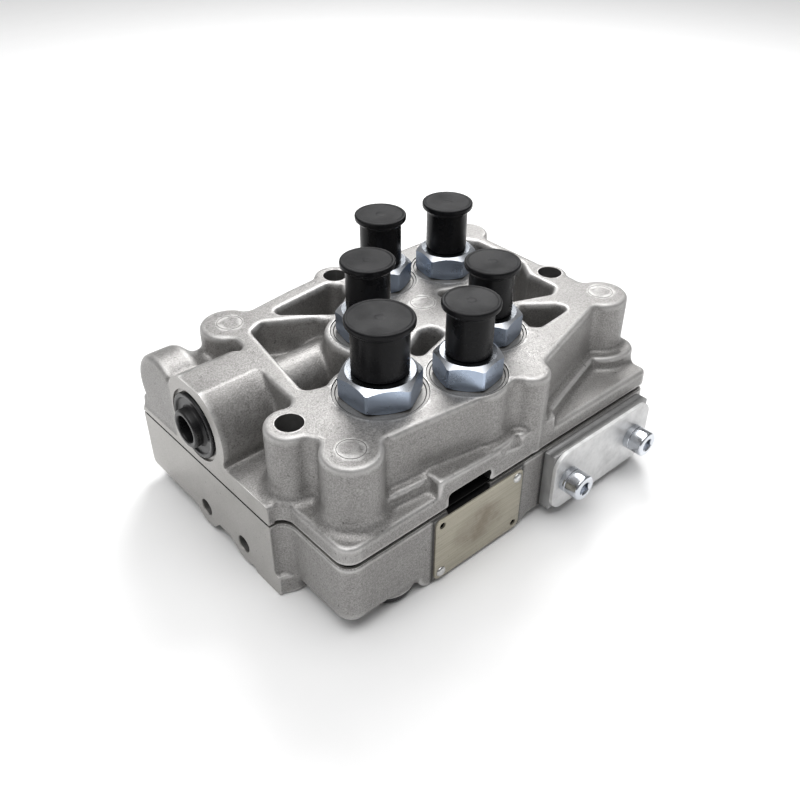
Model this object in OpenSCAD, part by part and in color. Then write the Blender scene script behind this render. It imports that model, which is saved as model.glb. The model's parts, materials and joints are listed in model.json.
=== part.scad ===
// Hydraulic signal valve: a two-part die-cast block with capped hose adapters on its deck.
// Inside the modules x runs from the machined left face, y from the front face and z from the
// parting plane. datum() then moves each piece so that the origin is on the axis of the first
// mounting hole, at the level of the feet.

/* [Castings] */
// Length from the machined face to the right edge
block_len = 208; // [200:1:230]
// Depth from the front face to the rear face
block_depth = 148.5; // [145:0.5:170]
// Height of the flat deck above the parting plane
deck_h = 43.4; // [41:0.2:52]
// Height of the flange band above the parting plane
flange_h = 10.5; // [9:0.5:13]
// Height of the ledge round the deck walls
ledge_h = 17; // [15:0.5:22]
// Width of that ledge at the front and the right
ledge_w = 5; // [3:0.5:7]
// Depth of the lower casting below the parting plane
lower_h = 32.6; // [32:0.2:34]
// Depth of the feet below the parting plane
foot_h = 39.8; // [39.4:0.2:46]
// Radius of the feet and of the bosses round the mounting holes
foot_r = 11; // [10:0.5:12]
// Inset of the left cast wall behind the machined face
wall_inset = 7.6; // [5:0.2:9]
// Place along y where the machined face begins
face_start = 42; // [40:0.5:43]
// Radius of the rounded deck edge
edge_r = 1.5; // [0.8:0.1:2]
// Fillet radius in the valleys between the deck bosses
valley_r = 4; // [2:0.5:5]

/* [Seal stack] */
// Thickness of the steel separator plate
plate_t = 0.6; // [0.4:0.1:1.5]
// Thickness of each gasket
gasket_t = 0.3; // [0.2:0.1:0.8]
// How far the stack lies behind the cast flange edge
stack_inset = 1.8; // [0.6:0.1:2]

/* [Deck ports] */
// Width across flats of the large adapter
large_hex = 32; // [30:1:34]
// Width across flats of the small adapters
small_hex = 27; // [24:1:28]
// Thread diameter of the large adapter
large_thread = 20.96; // [19:0.1:22]
// Thread diameter of the small adapters
small_thread = 16.66; // [15:0.1:18]
// Height of the adapter hexagons
hex_h = 12; // [9:0.5:14]
// Length of the hose thread above the hexagon
stub_h = 19; // [14:0.5:20]
// Length of the stud below the hexagon
stud_h = 12; // [9:0.5:14]
// Depth of the machined spot faces in the deck
spot_depth = 0.8; // [0.3:0.1:1.5]
// Rim of the spot faces outside the hexagon corners
spot_rim = 2.5; // [1.5:0.1:3]
// Section diameter of the adapter seal rings
seal_d = 2; // [1.5:0.1:2.5]

/* [Caps and plugs] */
// Wall of the protective caps
cap_wall = 1.8; // [1.2:0.1:2.4]
// Overhang of the grip disc of a cap
cap_disc = 2.4; // [1.5:0.1:3]
// Thickness of the grip disc
cap_disc_t = 3.2; // [2:0.2:4]
// Height of a cap from its open end to the top of its disc
cap_h = 24.6; // [22:0.2:26]
// Thread radius of the port in the machined face
side_port_r = 13.2; // [12:0.1:14]
// Radius of the spot face round that port
side_spot_r = 17.5; // [17:0.5:20]
// Height of that port's axis above the parting plane
side_port_z = 21.8; // [21.6:0.2:23]
// Distance of that port's axis from the front face
side_port_y = 96; // [94:0.5:97]
// Thread radius of the ports in the underside
low_port_r = 10.5; // [9:0.5:11]
// Flange radius of the plugs in the underside
low_plug_r = 13.6; // [13:0.2:15]

/* [Mounting] */
// Radius of the three mounting holes
bolt_r = 6; // [5:0.1:6.5]
// Thread diameter of the screws that hold the castings together
screw_d = 6; // [5:0.5:6]

/* [Front bracket] */
// Length of the bracket along the front face
bracket_len = 72; // [66:0.2:76]
// Thickness of the block behind the bracket plate
bracket_block_t = 6; // [4:0.5:9]
// Thickness of the bracket plate
bracket_plate_t = 2; // [1.5:0.1:4]
// Height of the bracket plate
bracket_h = 33; // [26:0.5:33]
// Distance between the two bracket screws
bracket_pitch = 49.1; // [44:0.1:50]
// Thread diameter of the bracket screws
bracket_screw_d = 8; // [6:0.5:8]
// Thickness of the collars under the screw heads
collar_t = 3; // [1.5:0.1:4]

/* [Nameplate] */
// Length of the nameplate
nameplate_len = 54.5; // [48:0.5:56]
// Height of the nameplate
nameplate_h = 35.6; // [28:0.2:36]
// Thickness of the nameplate
nameplate_t = 0.8; // [0.5:0.1:1.5]

/* [Valve parts] */
// Radius of the spool
spool_r = 7.95; // [6:0.05:8]
// Length of the spool
spool_len = 58; // [50:1:62]
// Travel of the spool against its spring
spool_travel = 8; // [5:0.5:10]
// Length of the fitted spring
spring_len = 34; // [30:1:36]
// Radius of the shuttle balls
ball_r = 3.5; // [3:0.1:3.8]
// Travel of the shuttle balls between their seats
ball_travel = 4; // [2:0.5:5]

/* [Hidden] */
$fn = 48;

// Colours
cast_colour = [0.72, 0.71, 0.7];
steel_colour = [0.78, 0.8, 0.83];
zinc_colour = [0.74, 0.79, 0.86];
black_colour = [0.09, 0.09, 0.1];
plate_colour = [0.55, 0.53, 0.46];

// Gaps between pieces that fit
fit_gap = 0.05;
cap_gap = 0.08;
seat_gap = 0.1;
far = 400;

// Mounting holes, with the one that carries the origin first
holes = [[17.5, 46.7], [block_len - 15.4, 61.2], [107, block_depth - 17]];
hole_boss_r = [foot_r, foot_r - 2, foot_r];

// Corner bosses of the deck that have no hole, as place and radius
corner_bosses = [
    [40.4, 127.6, 13.5], [25.8, 17.6, 13], [119.3, 8.4, 8.8],
    [block_len - 12.2, 30.2, 12.9], [block_len - 14, 123.5, 12]
];

// Places on the deck where ejector pins left a faint ring
ejector_marks = [[41.1, 127.5], [25.8, 17.5], [196.1, 31.3], [122.2, 81.6]];
ejector_r = 6.1;

// Deck ports, with the large one first
ports = [[59.2, 39.3], [96.2, 24.8], [127.4, 42.6], [86.7, 80], [156.4, 101.4], [121.8, 112.4]];
hex_turn = [31, 11, 15, 18, 20, 25];
function thread_r(i) = (i == 0 ? large_thread : small_thread) / 2;
function hex_r(i) = (i == 0 ? large_hex : small_hex) / sqrt(3);
function spot_r(i) = hex_r(i) + spot_rim;
port_wall = 3;

// Heights in the stack of castings, gaskets and plate
stack_half = plate_t / 2 + gasket_t;
hex_base = deck_h - spot_depth;
cap_base = hex_base + hex_h + 0.3;
cap_roof = 2;

// Bosses on the machined face
port_boss_r = side_spot_r + 5.9;
hump = [128.8, 20.6, 18.8];
hump_len = 15;
hump_round = 3;
hump_low_r = 12;
hump_run = 30;

// Main bore and its raised rib in the deck pockets
bore_r = spool_r + fit_gap;
rib_r = bore_r + 4.5;
side_port_depth = 20;
side_spot_depth = 1.2;
side_plug_len = 12.5;
side_plug_wall = 4;
side_hub_len = 4.7;
side_hub_floor = 9;
spool_start = 50;
bore_end = spool_start + spool_len + spring_len;
ring_t = 1.6;
spring_wire = 1.6;
spring_turns = 7;

// Channels with the shuttle balls in the lower casting, as y and z
channels = [[97.3, -27.9], [65.9, -28.4]];
channel_r = 4.3;
channel_boss_r = 10.3;
channel_run = 62;
seat_start = 30;
seat_len = 7;
chamber = 2 * ball_r + ball_travel + 2 * seat_gap;
channel_plug_start = 3.5;
channel_plug_len = 6;

// Underside ports
low_ports = [[39.2, 15.2], [152, 22], [62, 122], [158, 118]];
low_boss_r = 13;
low_boss_h = 35.8;
low_port_depth = 16;
low_plug_t = 3.2;
low_plug_len = 10.5;

// Screws that join the castings
screw_places = [
    [16, 12], [119.3, 9], [block_len - 14, 14], [block_len - 10, block_depth - 10.5],
    [80, block_depth - 8], [12, block_depth - 10.5]
];
screw_head_r = screw_d * 0.83;
screw_head_h = screw_d;
screw_sink = 7;
screw_bite = 8.5;

// Front window that shows the separator plate
window = [63.8, 25];
window_up = 8;
window_down = 3.4;
window_depth = 13;

// Raised front of the upper casting over the window
visor = [57, 37.5];
visor_h = 18.5;
visor_depth = 12;

// Front pad under the nameplate
pad = [47, 66];
pad_depth = 24;

// Nameplate
nameplate_x = 55.5;
nameplate_top = -2.4;
nameplate_corner = 3;
rivet_r = 1.5;
rivet_head_r = 2.1;
rivet_inset = 3.8;
rivet_len = 4;

// Bracket
bracket_x = block_len - 82.7;
bracket_top = -2;
bracket_corner = 8;
bracket_screw_x = bracket_x + 10;
bracket_mid = bracket_top - bracket_h / 2;
bracket_head_r = bracket_screw_d * 0.8125;
bracket_head_h = 7.4;
bracket_screw_bite = 16;

// Unit vector along v
function unit(v) = v / norm(v);

// Vector v turned by angle a
function turned(v, a) = [v.x * cos(a) - v.y * sin(a), v.x * sin(a) + v.y * cos(a)];

// Closed outline through corners [x, y, radius], each rounded by its own radius
function rounded(c, steps = 6) = [
    for (i = [0 : len(c) - 1])
        let (
            p = [c[i].x, c[i].y],
            a = [c[(i + len(c) - 1) % len(c)].x, c[(i + len(c) - 1) % len(c)].y],
            b = [c[(i + 1) % len(c)].x, c[(i + 1) % len(c)].y],
            u = unit(a - p),
            v = unit(b - p),
            half = acos(u * v) / 2,
            centre = p + unit(u + v) * c[i][2] / sin(half),
            spoke = p + u * c[i][2] / tan(half) - centre,
            turn = sign(cross(p - a, b - p)) * (180 - 2 * half)
        )
        each c[i][2] < 0.01 ? [p] : [for (k = [0 : steps]) centre + turned(spoke, turn * k / steps)]
];

// Corners of the flange, drawn in by inset everywhere but on the machined face
function flange_corners(inset) = [
    [wall_inset + inset, inset, 7.5 - inset],
    [block_len - 6.5 - inset, inset, 3 - inset],
    [block_len - 6.5 - inset, 8 + inset, 2],
    [block_len - inset, 16 + inset, 5],
    [block_len - inset, block_depth - inset, 8 - inset],
    [0, block_depth - inset, 1],
    [0, face_start + inset, 0.4],
    [wall_inset + inset, face_start + inset, 7]
];

module datum() {
    translate([-holes[0].x, -holes[0].y, foot_h]) children();
}

module flange_outline(inset = 0) {
    polygon(rounded(flange_corners(inset)));
}

// Vertical rod between two heights
module post(x, y, r, low, high) {
    translate([x, y, low]) cylinder(r = r, h = high - low);
}

// Rod along x between two places
module rod_x(y, z, r, from, to) {
    translate([from, y, z]) rotate([0, 90, 0]) cylinder(r = r, h = to - from);
}

// Rod along y between two places
module rod_y(x, z, r, from, to) {
    translate([x, from, z]) rotate([-90, 0, 0]) cylinder(r = r, h = to - from);
}

// Straight runs of the deck between its bosses
module deck_web() {
    polygon([
        [25.8, 17.6], [44, 12.9], [72, 9.7], [96.2, 6.4], [119.3, 8.3], [131, 9],
        [146, 13.6], [181, 23.8], [block_len - 11.9, 31.3], [block_len - 10.6, 48],
        [block_len - 10, 60], [block_len - 11.6, 72], [block_len - 11.2, 108],
        [block_len - 14, 123.5], [block_len - 24, 132], [165, 131], [holes[2].x, holes[2].y],
        [95, block_depth - 12], [80, block_depth - 13.4], [57, block_depth - 16.6],
        [41, 127], [35.6, 115], [35, 108], [30.4, 101.4], [29.4, 86], [27.6, 60],
        [holes[0].x, holes[0].y], [18.4, 33]
    ]);
}

// Outline of the deck with its bosses, grown by a margin
module deck_outline(grow = 0) {
    offset(r = grow) offset(r = -valley_r, $fn = 32) offset(delta = valley_r) {
        deck_web();
        for (b = corner_bosses) translate([b.x, b.y]) circle(r = b.z, $fn = 40);
        for (k = [0 : 2]) translate(holes[k]) circle(r = hole_boss_r[k], $fn = 40);
        for (i = [0 : 5]) translate(ports[i]) circle(r = spot_r(i) + 1.2, $fn = 40);
        translate([0, side_port_y - 9]) square([40, 18]);
    }
}

// Outlines of the pockets that lighten the deck
module pocket_outlines(grow = 0) {
    difference() {
        offset(r = 3 + grow, $fn = 24) offset(delta = -3) {
            polygon([[60, 122], [84, 101.8], [105, 117.5], [100, 127], [66, 123.4]]);
            polygon([[35.4, 61.4], [43, 58.6], [70, 61], [78, 99], [74, 105.4], [53, 118], [44.8, 114.2]]);
            polygon([[84, 46], [110.8, 54.4], [110.8, 62.6], [104, 63.4], [92, 57]]);
            polygon([[143, 36.4], [149, 29.6], [171.6, 31.8], [170.6, 37.4], [156.6, 48.6]]);
            polygon([
                [150, 57], [176.6, 46.4], [182.6, 50], [183, 68], [189.6, 78],
                [189.6, 111], [184, 120.4], [176, 118]
            ]);
            polygon([[134, 64], [150, 64], [150, 78], [134, 86]]);
        }
        for (i = [0 : 5]) translate(ports[i]) circle(r = spot_r(i) + port_wall - grow, $fn = 40);
    }
}

// Layers that round the upper edge of an outline, as height below the deck and inset
edge_layers = [[edge_r, 0], [edge_r * 0.45, edge_r * 0.16], [0, edge_r * 0.6]];

// Layers that round the lower edge of the lower casting, as height above it and inset
low_layers = [[0.5, 2.1], [1.3, 1.1], [3, 0.35], [0, 0]];

// Ledge at the foot of the front and right walls
module ledge_outline(grow) {
    intersection() {
        union() {
            deck_outline(grow);
            translate([corner_bosses[3].x, corner_bosses[3].y]) circle(r = corner_bosses[3].z + grow + 2);
        }
        polygon([
            [35, 8.8], [visor.x + 1, 6.6], [visor.x + 2, -1], [block_len + 1, -1],
            [block_len + 1, block_depth + 1], [35, block_depth + 1]
        ]);
    }
}

// Walls of the upper casting without its cuts
module upper_walls() {
    low = stack_half;
    for (k = [0 : 2]) {
        base = k == 0 ? low : flange_h - edge_layers[k - 1][0];
        translate([0, 0, base]) linear_extrude(flange_h - edge_layers[k][0] - base)
            flange_outline(edge_layers[k][1]);
    }
    for (k = [0 : 1])
        translate([0, 0, low]) linear_extrude(flange_h + 1.2 + k * 1.6 - low) intersection() {
            deck_outline(2.6 - k * 1.6);
            flange_outline(0.4);
        }
    for (k = [0 : 1])
        translate([0, 0, low]) linear_extrude(ledge_h - 0.8 + k * 0.8 - low) intersection() {
            ledge_outline(ledge_w - k * 0.8);
            flange_outline(0.3 + k * 0.8);
        }
    for (k = [0 : 2]) {
        base = k == 0 ? low : deck_h - edge_layers[k - 1][0];
        translate([0, 0, base]) linear_extrude(deck_h - edge_layers[k][0] - base)
            deck_outline(-edge_layers[k][1]);
    }
    side_bosses();
    visor();
}

// Port boss, rear hump and the rib over the main bore, cut level with the deck
module side_bosses() {
    intersection() {
        union() {
            rod_x(side_port_y, side_port_z, port_boss_r, 0, 31);
            translate([0, hump.x, hump.y]) rotate([0, 90, 0]) rotate_extrude() polygon([
                [0, 0], [hump.z - hump_round * 0.6, 0], [hump.z - hump_round * 0.17, hump_round * 0.45],
                [hump.z, hump_round], [hump.z, hump_len], [hump.z - 1, hump_len + 2.2],
                [hump_low_r + 2, hump_len + 5.6], [hump_low_r, hump_len + 9], [hump_low_r, hump_run], [0, hump_run]
            ]);
            translate([0, hump.x - 22, stack_half]) cube([hump_len, 22, hump.y]);
        }
        translate([0, 0, stack_half]) cube([hump_run + 2, block_depth, deck_h - stack_half]);
    }
}

// Raised front over the window, with a small groove at its right end
module visor() {
    end_x = visor.x + visor.y;
    translate([0, visor_depth, 0]) rotate([90, 0, 0]) linear_extrude(visor_depth)
        polygon([
            [visor.x, flange_h - 2], [visor.x + 0.8, visor_h], [end_x - 1, visor_h - 2.4],
            [end_x + 1.2, visor_h - 6.2], [end_x + 3.4, visor_h - 5], [end_x + 20, flange_h],
            [end_x + 20, flange_h - 2]
        ]);
}

module window_cut(low, high) {
    translate([window.x, -1, low]) cube([window.y, window_depth + 1, high - low]);
}

module upper_housing() {
    color(cast_colour) datum() difference() {
        upper_walls();
        difference() {
            union() {
                translate([0, 0, ledge_h - 3]) linear_extrude(deck_h) pocket_outlines();
                translate([0, 0, deck_h - edge_r]) linear_extrude(edge_r + 1) pocket_outlines(edge_r * 0.5);
            }
            rod_x(side_port_y, side_port_z, rib_r, 0, bore_end + 5);
            translate([30, side_port_y, 0]) cube([50, 30, side_port_z + 2.6]);
        }
        window_cut(0, window_up);
        for (i = [0 : 5]) deck_port_cut(i);
        for (h = holes) post(h.x, h.y, bolt_r, -1, deck_h + 1);
        for (e = ejector_marks) post(e.x, e.y, ejector_r, deck_h - 0.2, deck_h + 1);
        for (s = screw_places) post(s.x, s.y, screw_d / 2 + fit_gap, 0, stack_half + screw_bite);
        rod_x(side_port_y, side_port_z, side_spot_r, -1, side_spot_depth);
        rod_x(side_port_y, side_port_z, side_port_r, -1, side_port_depth);
        rod_x(side_port_y, side_port_z, bore_r, -1, bore_end);
        rod_x(side_port_y, side_port_z, bore_r + 1, spool_start - ring_t - seat_gap, spool_start);
    }
}

// Spot face, thread, seal groove and drilling of one deck port
module deck_port_cut(i) {
    r = thread_r(i) + fit_gap;
    translate([ports[i].x, ports[i].y, 0]) {
        post(0, 0, spot_r(i), hex_base, deck_h + 1);
        post(0, 0, r, hex_base - stud_h - 2, deck_h);
        post(0, 0, r + seal_d + 0.3, hex_base - seal_d - 0.1, deck_h);
        post(0, 0, r / 2, stack_half - 1, deck_h);
    }
}

module lower_housing() {
    color(cast_colour) datum() difference() {
        union() {
            for (k = [0 : 3]) {
                high = k == 3 ? -stack_half : -lower_h + low_layers[k][0];
                translate([0, 0, -lower_h + (k == 0 ? 0 : low_layers[k - 1][0])])
                    linear_extrude(high + lower_h - (k == 0 ? 0 : low_layers[k - 1][0])) intersection() {
                        flange_outline(low_layers[k][1]);
                        translate([low_layers[k][1], 0]) square([block_len, block_depth]);
                    }
            }
            for (k = [0 : 2]) post(holes[k].x, holes[k].y, hole_boss_r[k], -foot_h, -stack_half);
            side_foot();
            for (p = low_ports) post(p.x, p.y, low_boss_r, -low_boss_h, -lower_h + 1);
            front_pad();
            channel_bosses();
        }
        translate([0, -far / 2, -far / 2]) mirror([1, 0, 0]) cube([far, far, far]);
        translate([-far / 2, 0, -far / 2]) mirror([0, 1, 0]) cube([far, far, far]);
        window_cut(-window_down, 0);
        for (h = holes) post(h.x, h.y, bolt_r, -foot_h - 1, 1);
        for (s = screw_places) {
            post(s.x, s.y, screw_d / 2 + 0.3, -lower_h - 1, 1);
            post(s.x, s.y, screw_head_r + 0.4, -foot_h - 1, -lower_h + screw_sink);
        }
        for (p = low_ports) {
            post(p.x, p.y, low_plug_r + 0.6, -foot_h - 1, -low_boss_h);
            post(p.x, p.y, low_port_r + fit_gap, -low_boss_h - 1, -low_boss_h + low_port_depth);
            post(p.x, p.y, low_port_r / 2, -low_boss_h, 0);
        }
        for (c = channels) channel_cut(c);
        for (k = [0 : 1])
            rod_y(bracket_screw_x + k * bracket_pitch, bracket_mid, bracket_screw_d / 2 + fit_gap,
                -1, bracket_screw_bite + 1);
        for (p = rivet_places(false)) rod_y(p.x, p.y, rivet_r + fit_gap, -1, rivet_len + 0.5);
    }
}

// Foot between the first mounting hole and the machined face
module side_foot() {
    translate([0, 0, -foot_h]) linear_extrude(foot_h - lower_h + 4) polygon(rounded([
        [0, face_start - 3, 2], [wall_inset, holes[0].y - foot_r, 1], [holes[0].x, holes[0].y - foot_r, 0],
        [holes[0].x, holes[0].y + foot_r, 0], [0, holes[0].y + foot_r, 0.5]
    ]));
}

// Pad with round lower corners that backs the nameplate
module front_pad() {
    translate([0, pad_depth, 0]) rotate([90, 0, 0]) linear_extrude(pad_depth)
        polygon(rounded([
            [pad.x, -foot_h, 7], [pad.x + pad.y, -foot_h, 5], [pad.x + pad.y + 4, -foot_h + 3.6, 2],
            [bracket_x + 8, -foot_h + 3.6, 0], [bracket_x + 8, -stack_half - 6, 0], [pad.x, -stack_half - 6, 0]
        ]));
}

module channel_bosses() {
    for (c = channels) rod_x(c.x, c.y, channel_boss_r, 0, channel_run);
}

// Drilling for one plug, seat and shuttle ball, stepped down behind the ball
module channel_cut(c) {
    rod_x(c.x, c.y, channel_r, -1, seat_start + seat_len + chamber);
    rod_x(c.x, c.y, ball_r * 0.6, 0, channel_run - 4);
}

// Gasket or plate: flange outline with its holes, drawn in from the cast edges
module stack_layer(low, thick) {
    translate([0, 0, low]) linear_extrude(thick) difference() {
        flange_outline(stack_inset);
        for (h = holes) translate(h) circle(r = bolt_r);
        for (s = screw_places) translate(s) circle(r = screw_d / 2 + 0.3);
        for (i = [0 : 5]) translate(ports[i]) circle(r = thread_r(i) / 2);
        for (p = low_ports) translate(p) circle(r = low_port_r / 2);
    }
}

module separator_plate() {
    color(steel_colour) datum() stack_layer(-plate_t / 2, plate_t);
}

module upper_gasket() {
    color(black_colour) datum() difference() {
        stack_layer(plate_t / 2, gasket_t);
        window_cut(0, 2);
    }
}

module lower_gasket() {
    color(black_colour) datum() difference() {
        stack_layer(-stack_half, gasket_t);
        window_cut(-2, 0);
    }
}

// Hexagon with both faces chamfered, standing on height 0
module hexagon(r, h) {
    flat_r = r * cos(30);
    intersection() {
        cylinder(r = r, h = h, $fn = 6);
        union() {
            cylinder(r1 = flat_r + 0.2, r2 = r + 0.3, h = (r - flat_r) * 0.6);
            translate([0, 0, (r - flat_r) * 0.6]) cylinder(r = r + 0.3, h = h - (r - flat_r) * 1.2);
            translate([0, 0, h - (r - flat_r) * 0.6])
                cylinder(r1 = r + 0.3, r2 = flat_r + 0.2, h = (r - flat_r) * 0.6);
        }
    }
}

// Adapter with hexagon, hose thread, stud and a through drilling with a cone seat
module port_adapter(n) {
    i = n - 1;
    r = thread_r(i);
    color(zinc_colour) datum() translate([ports[i].x, ports[i].y, hex_base]) difference() {
        union() {
            rotate(hex_turn[i]) hexagon(hex_r(i), hex_h);
            post(0, 0, r, -stud_h + 1.5, hex_h + stub_h - 1.5);
            translate([0, 0, hex_h + stub_h - 1.5]) cylinder(r1 = r, r2 = r - 1.2, h = 1.5);
            translate([0, 0, -stud_h]) cylinder(r1 = r - 1.2, r2 = r, h = 1.5);
        }
        post(0, 0, r / 2, -stud_h - 1, hex_h + stub_h + 1);
        translate([0, 0, hex_h + stub_h - 4]) cylinder(r1 = r / 2, r2 = r / 2 + 2.4, h = 4.1);
    }
}

module port_seals() {
    color(black_colour) datum() for (i = [0 : 5])
        translate([ports[i].x, ports[i].y, hex_base - seal_d / 2]) rotate_extrude()
            translate([thread_r(i) + fit_gap + seal_d / 2 + 0.1, 0]) circle(r = seal_d / 2 - 0.02, $fn = 24);
}

// Cap with a tapered stem and a wide grip disc, open at its lower end
module port_cap(n) {
    i = n - 1;
    r = thread_r(i) + cap_gap;
    h = cap_h;
    stem = r + cap_wall;
    disc = stem + cap_disc;
    color(black_colour) datum() translate([ports[i].x, ports[i].y, cap_base]) rotate_extrude()
        polygon([
            [0, h], [disc - 0.8, h], [disc, h - 0.8], [disc, h - cap_disc_t + 1], [disc - 0.5, h - cap_disc_t + 0.4],
            [stem + 0.5, h - cap_disc_t - 0.8], [stem, 0.8], [stem - 0.6, 0], [r, 0],
            [r, h - cap_roof], [0, h - cap_roof]
        ]);
}

// Plug with a flange, a dished face and a hollow hub that stands out of the port
module side_port_plug() {
    rim = side_spot_r - 1.7;
    hub = side_port_r - side_plug_wall;
    out = side_hub_len;
    hub_hole = hub - 2.8;
    color(black_colour) datum() translate([0, side_port_y, side_port_z]) rotate([0, 90, 0])
        rotate_extrude() polygon([
            [0, side_hub_floor], [hub_hole - 1, side_hub_floor], [hub_hole, side_hub_floor - 1],
            [hub_hole, 0.5 - out], [hub_hole + 0.5, -out], [hub - 0.5, -out], [hub, 0.5 - out],
            [hub + 0.4, 0.2], [rim - 2.2, 0.2], [rim - 1.6, -0.9],
            [rim - 0.5, -0.9], [rim, -0.4], [rim, side_spot_depth], [side_port_r - cap_gap, side_spot_depth],
            [side_port_r - cap_gap - 0.4, side_plug_len - 1.5], [side_port_r - 2.4, side_plug_len],
            [0, side_plug_len]
        ]);
}

// Flanged plug in a port of the underside
module lower_plug(n) {
    p = low_ports[n - 1];
    r = low_port_r;
    color(black_colour) datum() translate([p.x, p.y, -low_boss_h]) rotate_extrude()
        polygon([
            [0, -low_plug_t + 0.6], [r - 4, -low_plug_t + 0.6], [r - 3, -low_plug_t],
            [low_plug_r - 0.6, -low_plug_t], [low_plug_r, -low_plug_t + 0.6], [low_plug_r, 0],
            [r - cap_gap, 0], [r - cap_gap - 0.4, low_plug_len - 1.5], [r - 1.6, low_plug_len],
            [0, low_plug_len]
        ]);
}

module channel_plugs() {
    color(steel_colour) datum() for (c = channels)
        rod_x(c.x, c.y, channel_r - 0.02, channel_plug_start, channel_plug_start + channel_plug_len);
}

// Pressed sleeves whose inner edge stops the balls
module shuttle_seats() {
    color(steel_colour) datum() for (c = channels) difference() {
        rod_x(c.x, c.y, channel_r - 0.02, seat_start, seat_start + seat_len);
        rod_x(c.x, c.y, ball_r * 0.6, seat_start - 1, seat_start + seat_len + 1);
    }
}

module shuttle_ball(n) {
    c = channels[n - 1];
    color(steel_colour) datum()
        translate([seat_start + seat_len + seat_gap + ball_r, c.x, c.y - channel_r + ball_r + fit_gap])
            sphere(r = ball_r);
}

// Spool with balance grooves, two flow lands and a spigot for its spring
module signal_spool() {
    spigot = spool_r - spring_wire - 0.8;
    color(steel_colour) datum() difference() {
        union() {
            rod_x(side_port_y, side_port_z, spool_r, spool_start, spool_start + spool_len);
            rod_x(side_port_y, side_port_z, spigot - 1, spool_start, spool_start + spool_len + 6);
        }
        for (x = [14, 34]) spool_groove(spool_start + x, 9, 2.6);
        for (x = [4, 8, 26.5, 30, 47, 51]) spool_groove(spool_start + x, 1, 0.5);
        rod_x(side_port_y, side_port_z, 2.5, spool_start - 1, spool_start + 12);
    }
}

// Ring-shaped cut of given width and depth round the spool
module spool_groove(x, wide, deep) {
    difference() {
        rod_x(side_port_y, side_port_z, spool_r + 1, x, x + wide);
        rod_x(side_port_y, side_port_z, spool_r - deep, x - 1, x + wide + 1);
    }
}

// Ring of wire points round the spring's axis at turn angle a
function wire_ring(a, mean_r, run, sides) = [
    for (k = [0 : sides - 1])
        let (
            b = 360 * k / sides,
            r = mean_r + spring_wire / 2 * cos(b)
        )
        [run * a / (360 * spring_turns) + spring_wire / 2 * sin(b), r * cos(a), r * sin(a)]
];

module spool_spring() {
    sides = 6;
    per_turn = 16;
    rings = spring_turns * per_turn;
    mean_r = spool_r - spring_wire / 2 - 0.5;
    run = spring_len - spring_wire - 2 * seat_gap;
    start = spool_start + spool_len + seat_gap + spring_wire / 2;
    points = [for (j = [0 : rings]) each wire_ring(360 * j / per_turn, mean_r, run, sides)];
    faces = [
        for (j = [0 : rings - 1]) for (k = [0 : sides - 1])
            [j * sides + k, j * sides + (k + 1) % sides, (j + 1) * sides + (k + 1) % sides, (j + 1) * sides + k]
    ];
    first = [for (k = [sides - 1 : -1 : 0]) k];
    last = [for (k = [0 : sides - 1]) rings * sides + k];
    color(steel_colour) datum() translate([start, side_port_y, side_port_z])
        polyhedron(points = points, faces = concat(faces, [first], [last]));
}

// Snap ring that stops the spool on its port side
module spool_retaining_ring() {
    color(steel_colour) datum() difference() {
        rod_x(side_port_y, side_port_z, bore_r + 0.9, spool_start - ring_t - seat_gap + 0.05, spool_start - seat_gap);
        rod_x(side_port_y, side_port_z, bore_r - 2.2, spool_start - 5, spool_start + 5);
    }
}

// Corners of the nameplate: two carry rivets, two are empty holes
function rivet_places(filled) = [
    for (k = filled ? [0, 1] : [0, 1, 2, 3])
        let (
            right = k == 0 || k == 2,
            high = k == 0 || k == 3
        )
        [nameplate_x + (right ? nameplate_len - rivet_inset : rivet_inset),
         nameplate_top - (high ? rivet_inset : nameplate_h - rivet_inset)]
];

module nameplate() {
    low = nameplate_top - nameplate_h;
    right = nameplate_x + nameplate_len;
    color(plate_colour) datum() difference() {
        rotate([90, 0, 0]) linear_extrude(nameplate_t) polygon(rounded([
            [nameplate_x, low, nameplate_corner], [right, low, nameplate_corner],
            [right, nameplate_top, nameplate_corner], [nameplate_x, nameplate_top, nameplate_corner]
        ]));
        for (p = rivet_places(false)) rod_y(p.x, p.y, rivet_r + fit_gap, -nameplate_t - 1, 1);
    }
}

module nameplate_rivets() {
    color(steel_colour) datum() for (p = rivet_places(true)) {
        rod_y(p.x, p.y, rivet_r, -nameplate_t, rivet_len);
        translate([p.x, -nameplate_t, p.y]) rotate([90, 0, 0]) {
            cylinder(r = rivet_head_r, h = 0.5);
            translate([0, 0, 0.5]) cylinder(r1 = rivet_head_r, r2 = rivet_head_r - 0.7, h = 0.5);
        }
    }
}

module bracket_block() {
    color(steel_colour) datum() difference() {
        translate([bracket_x + 0.5, -bracket_block_t, bracket_top - bracket_h + 0.5])
            cube([bracket_len - 1, bracket_block_t, bracket_h - 1]);
        bracket_holes();
    }
}

module bracket_plate() {
    right = bracket_x + bracket_len;
    low = bracket_top - bracket_h;
    color(steel_colour) datum() difference() {
        translate([0, -bracket_block_t, 0]) rotate([90, 0, 0]) linear_extrude(bracket_plate_t)
            polygon(rounded([
                [bracket_x, low, bracket_corner], [right, low, bracket_corner],
                [right, bracket_top, bracket_corner], [bracket_x, bracket_top, bracket_corner]
            ]));
        bracket_holes();
    }
}

module bracket_holes() {
    for (k = [0 : 1])
        rod_y(bracket_screw_x + k * bracket_pitch, bracket_mid, bracket_screw_d / 2 + 0.3, -far / 8, 1);
}

module bracket_screws() {
    head = -bracket_block_t - bracket_plate_t - collar_t;
    color(steel_colour) datum() for (k = [0 : 1])
        translate([bracket_screw_x + k * bracket_pitch, head, bracket_mid]) rotate([90, 0, 0])
            socket_screw(bracket_screw_d / 2, bracket_head_r, bracket_head_h, bracket_screw_bite - head);
}

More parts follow.
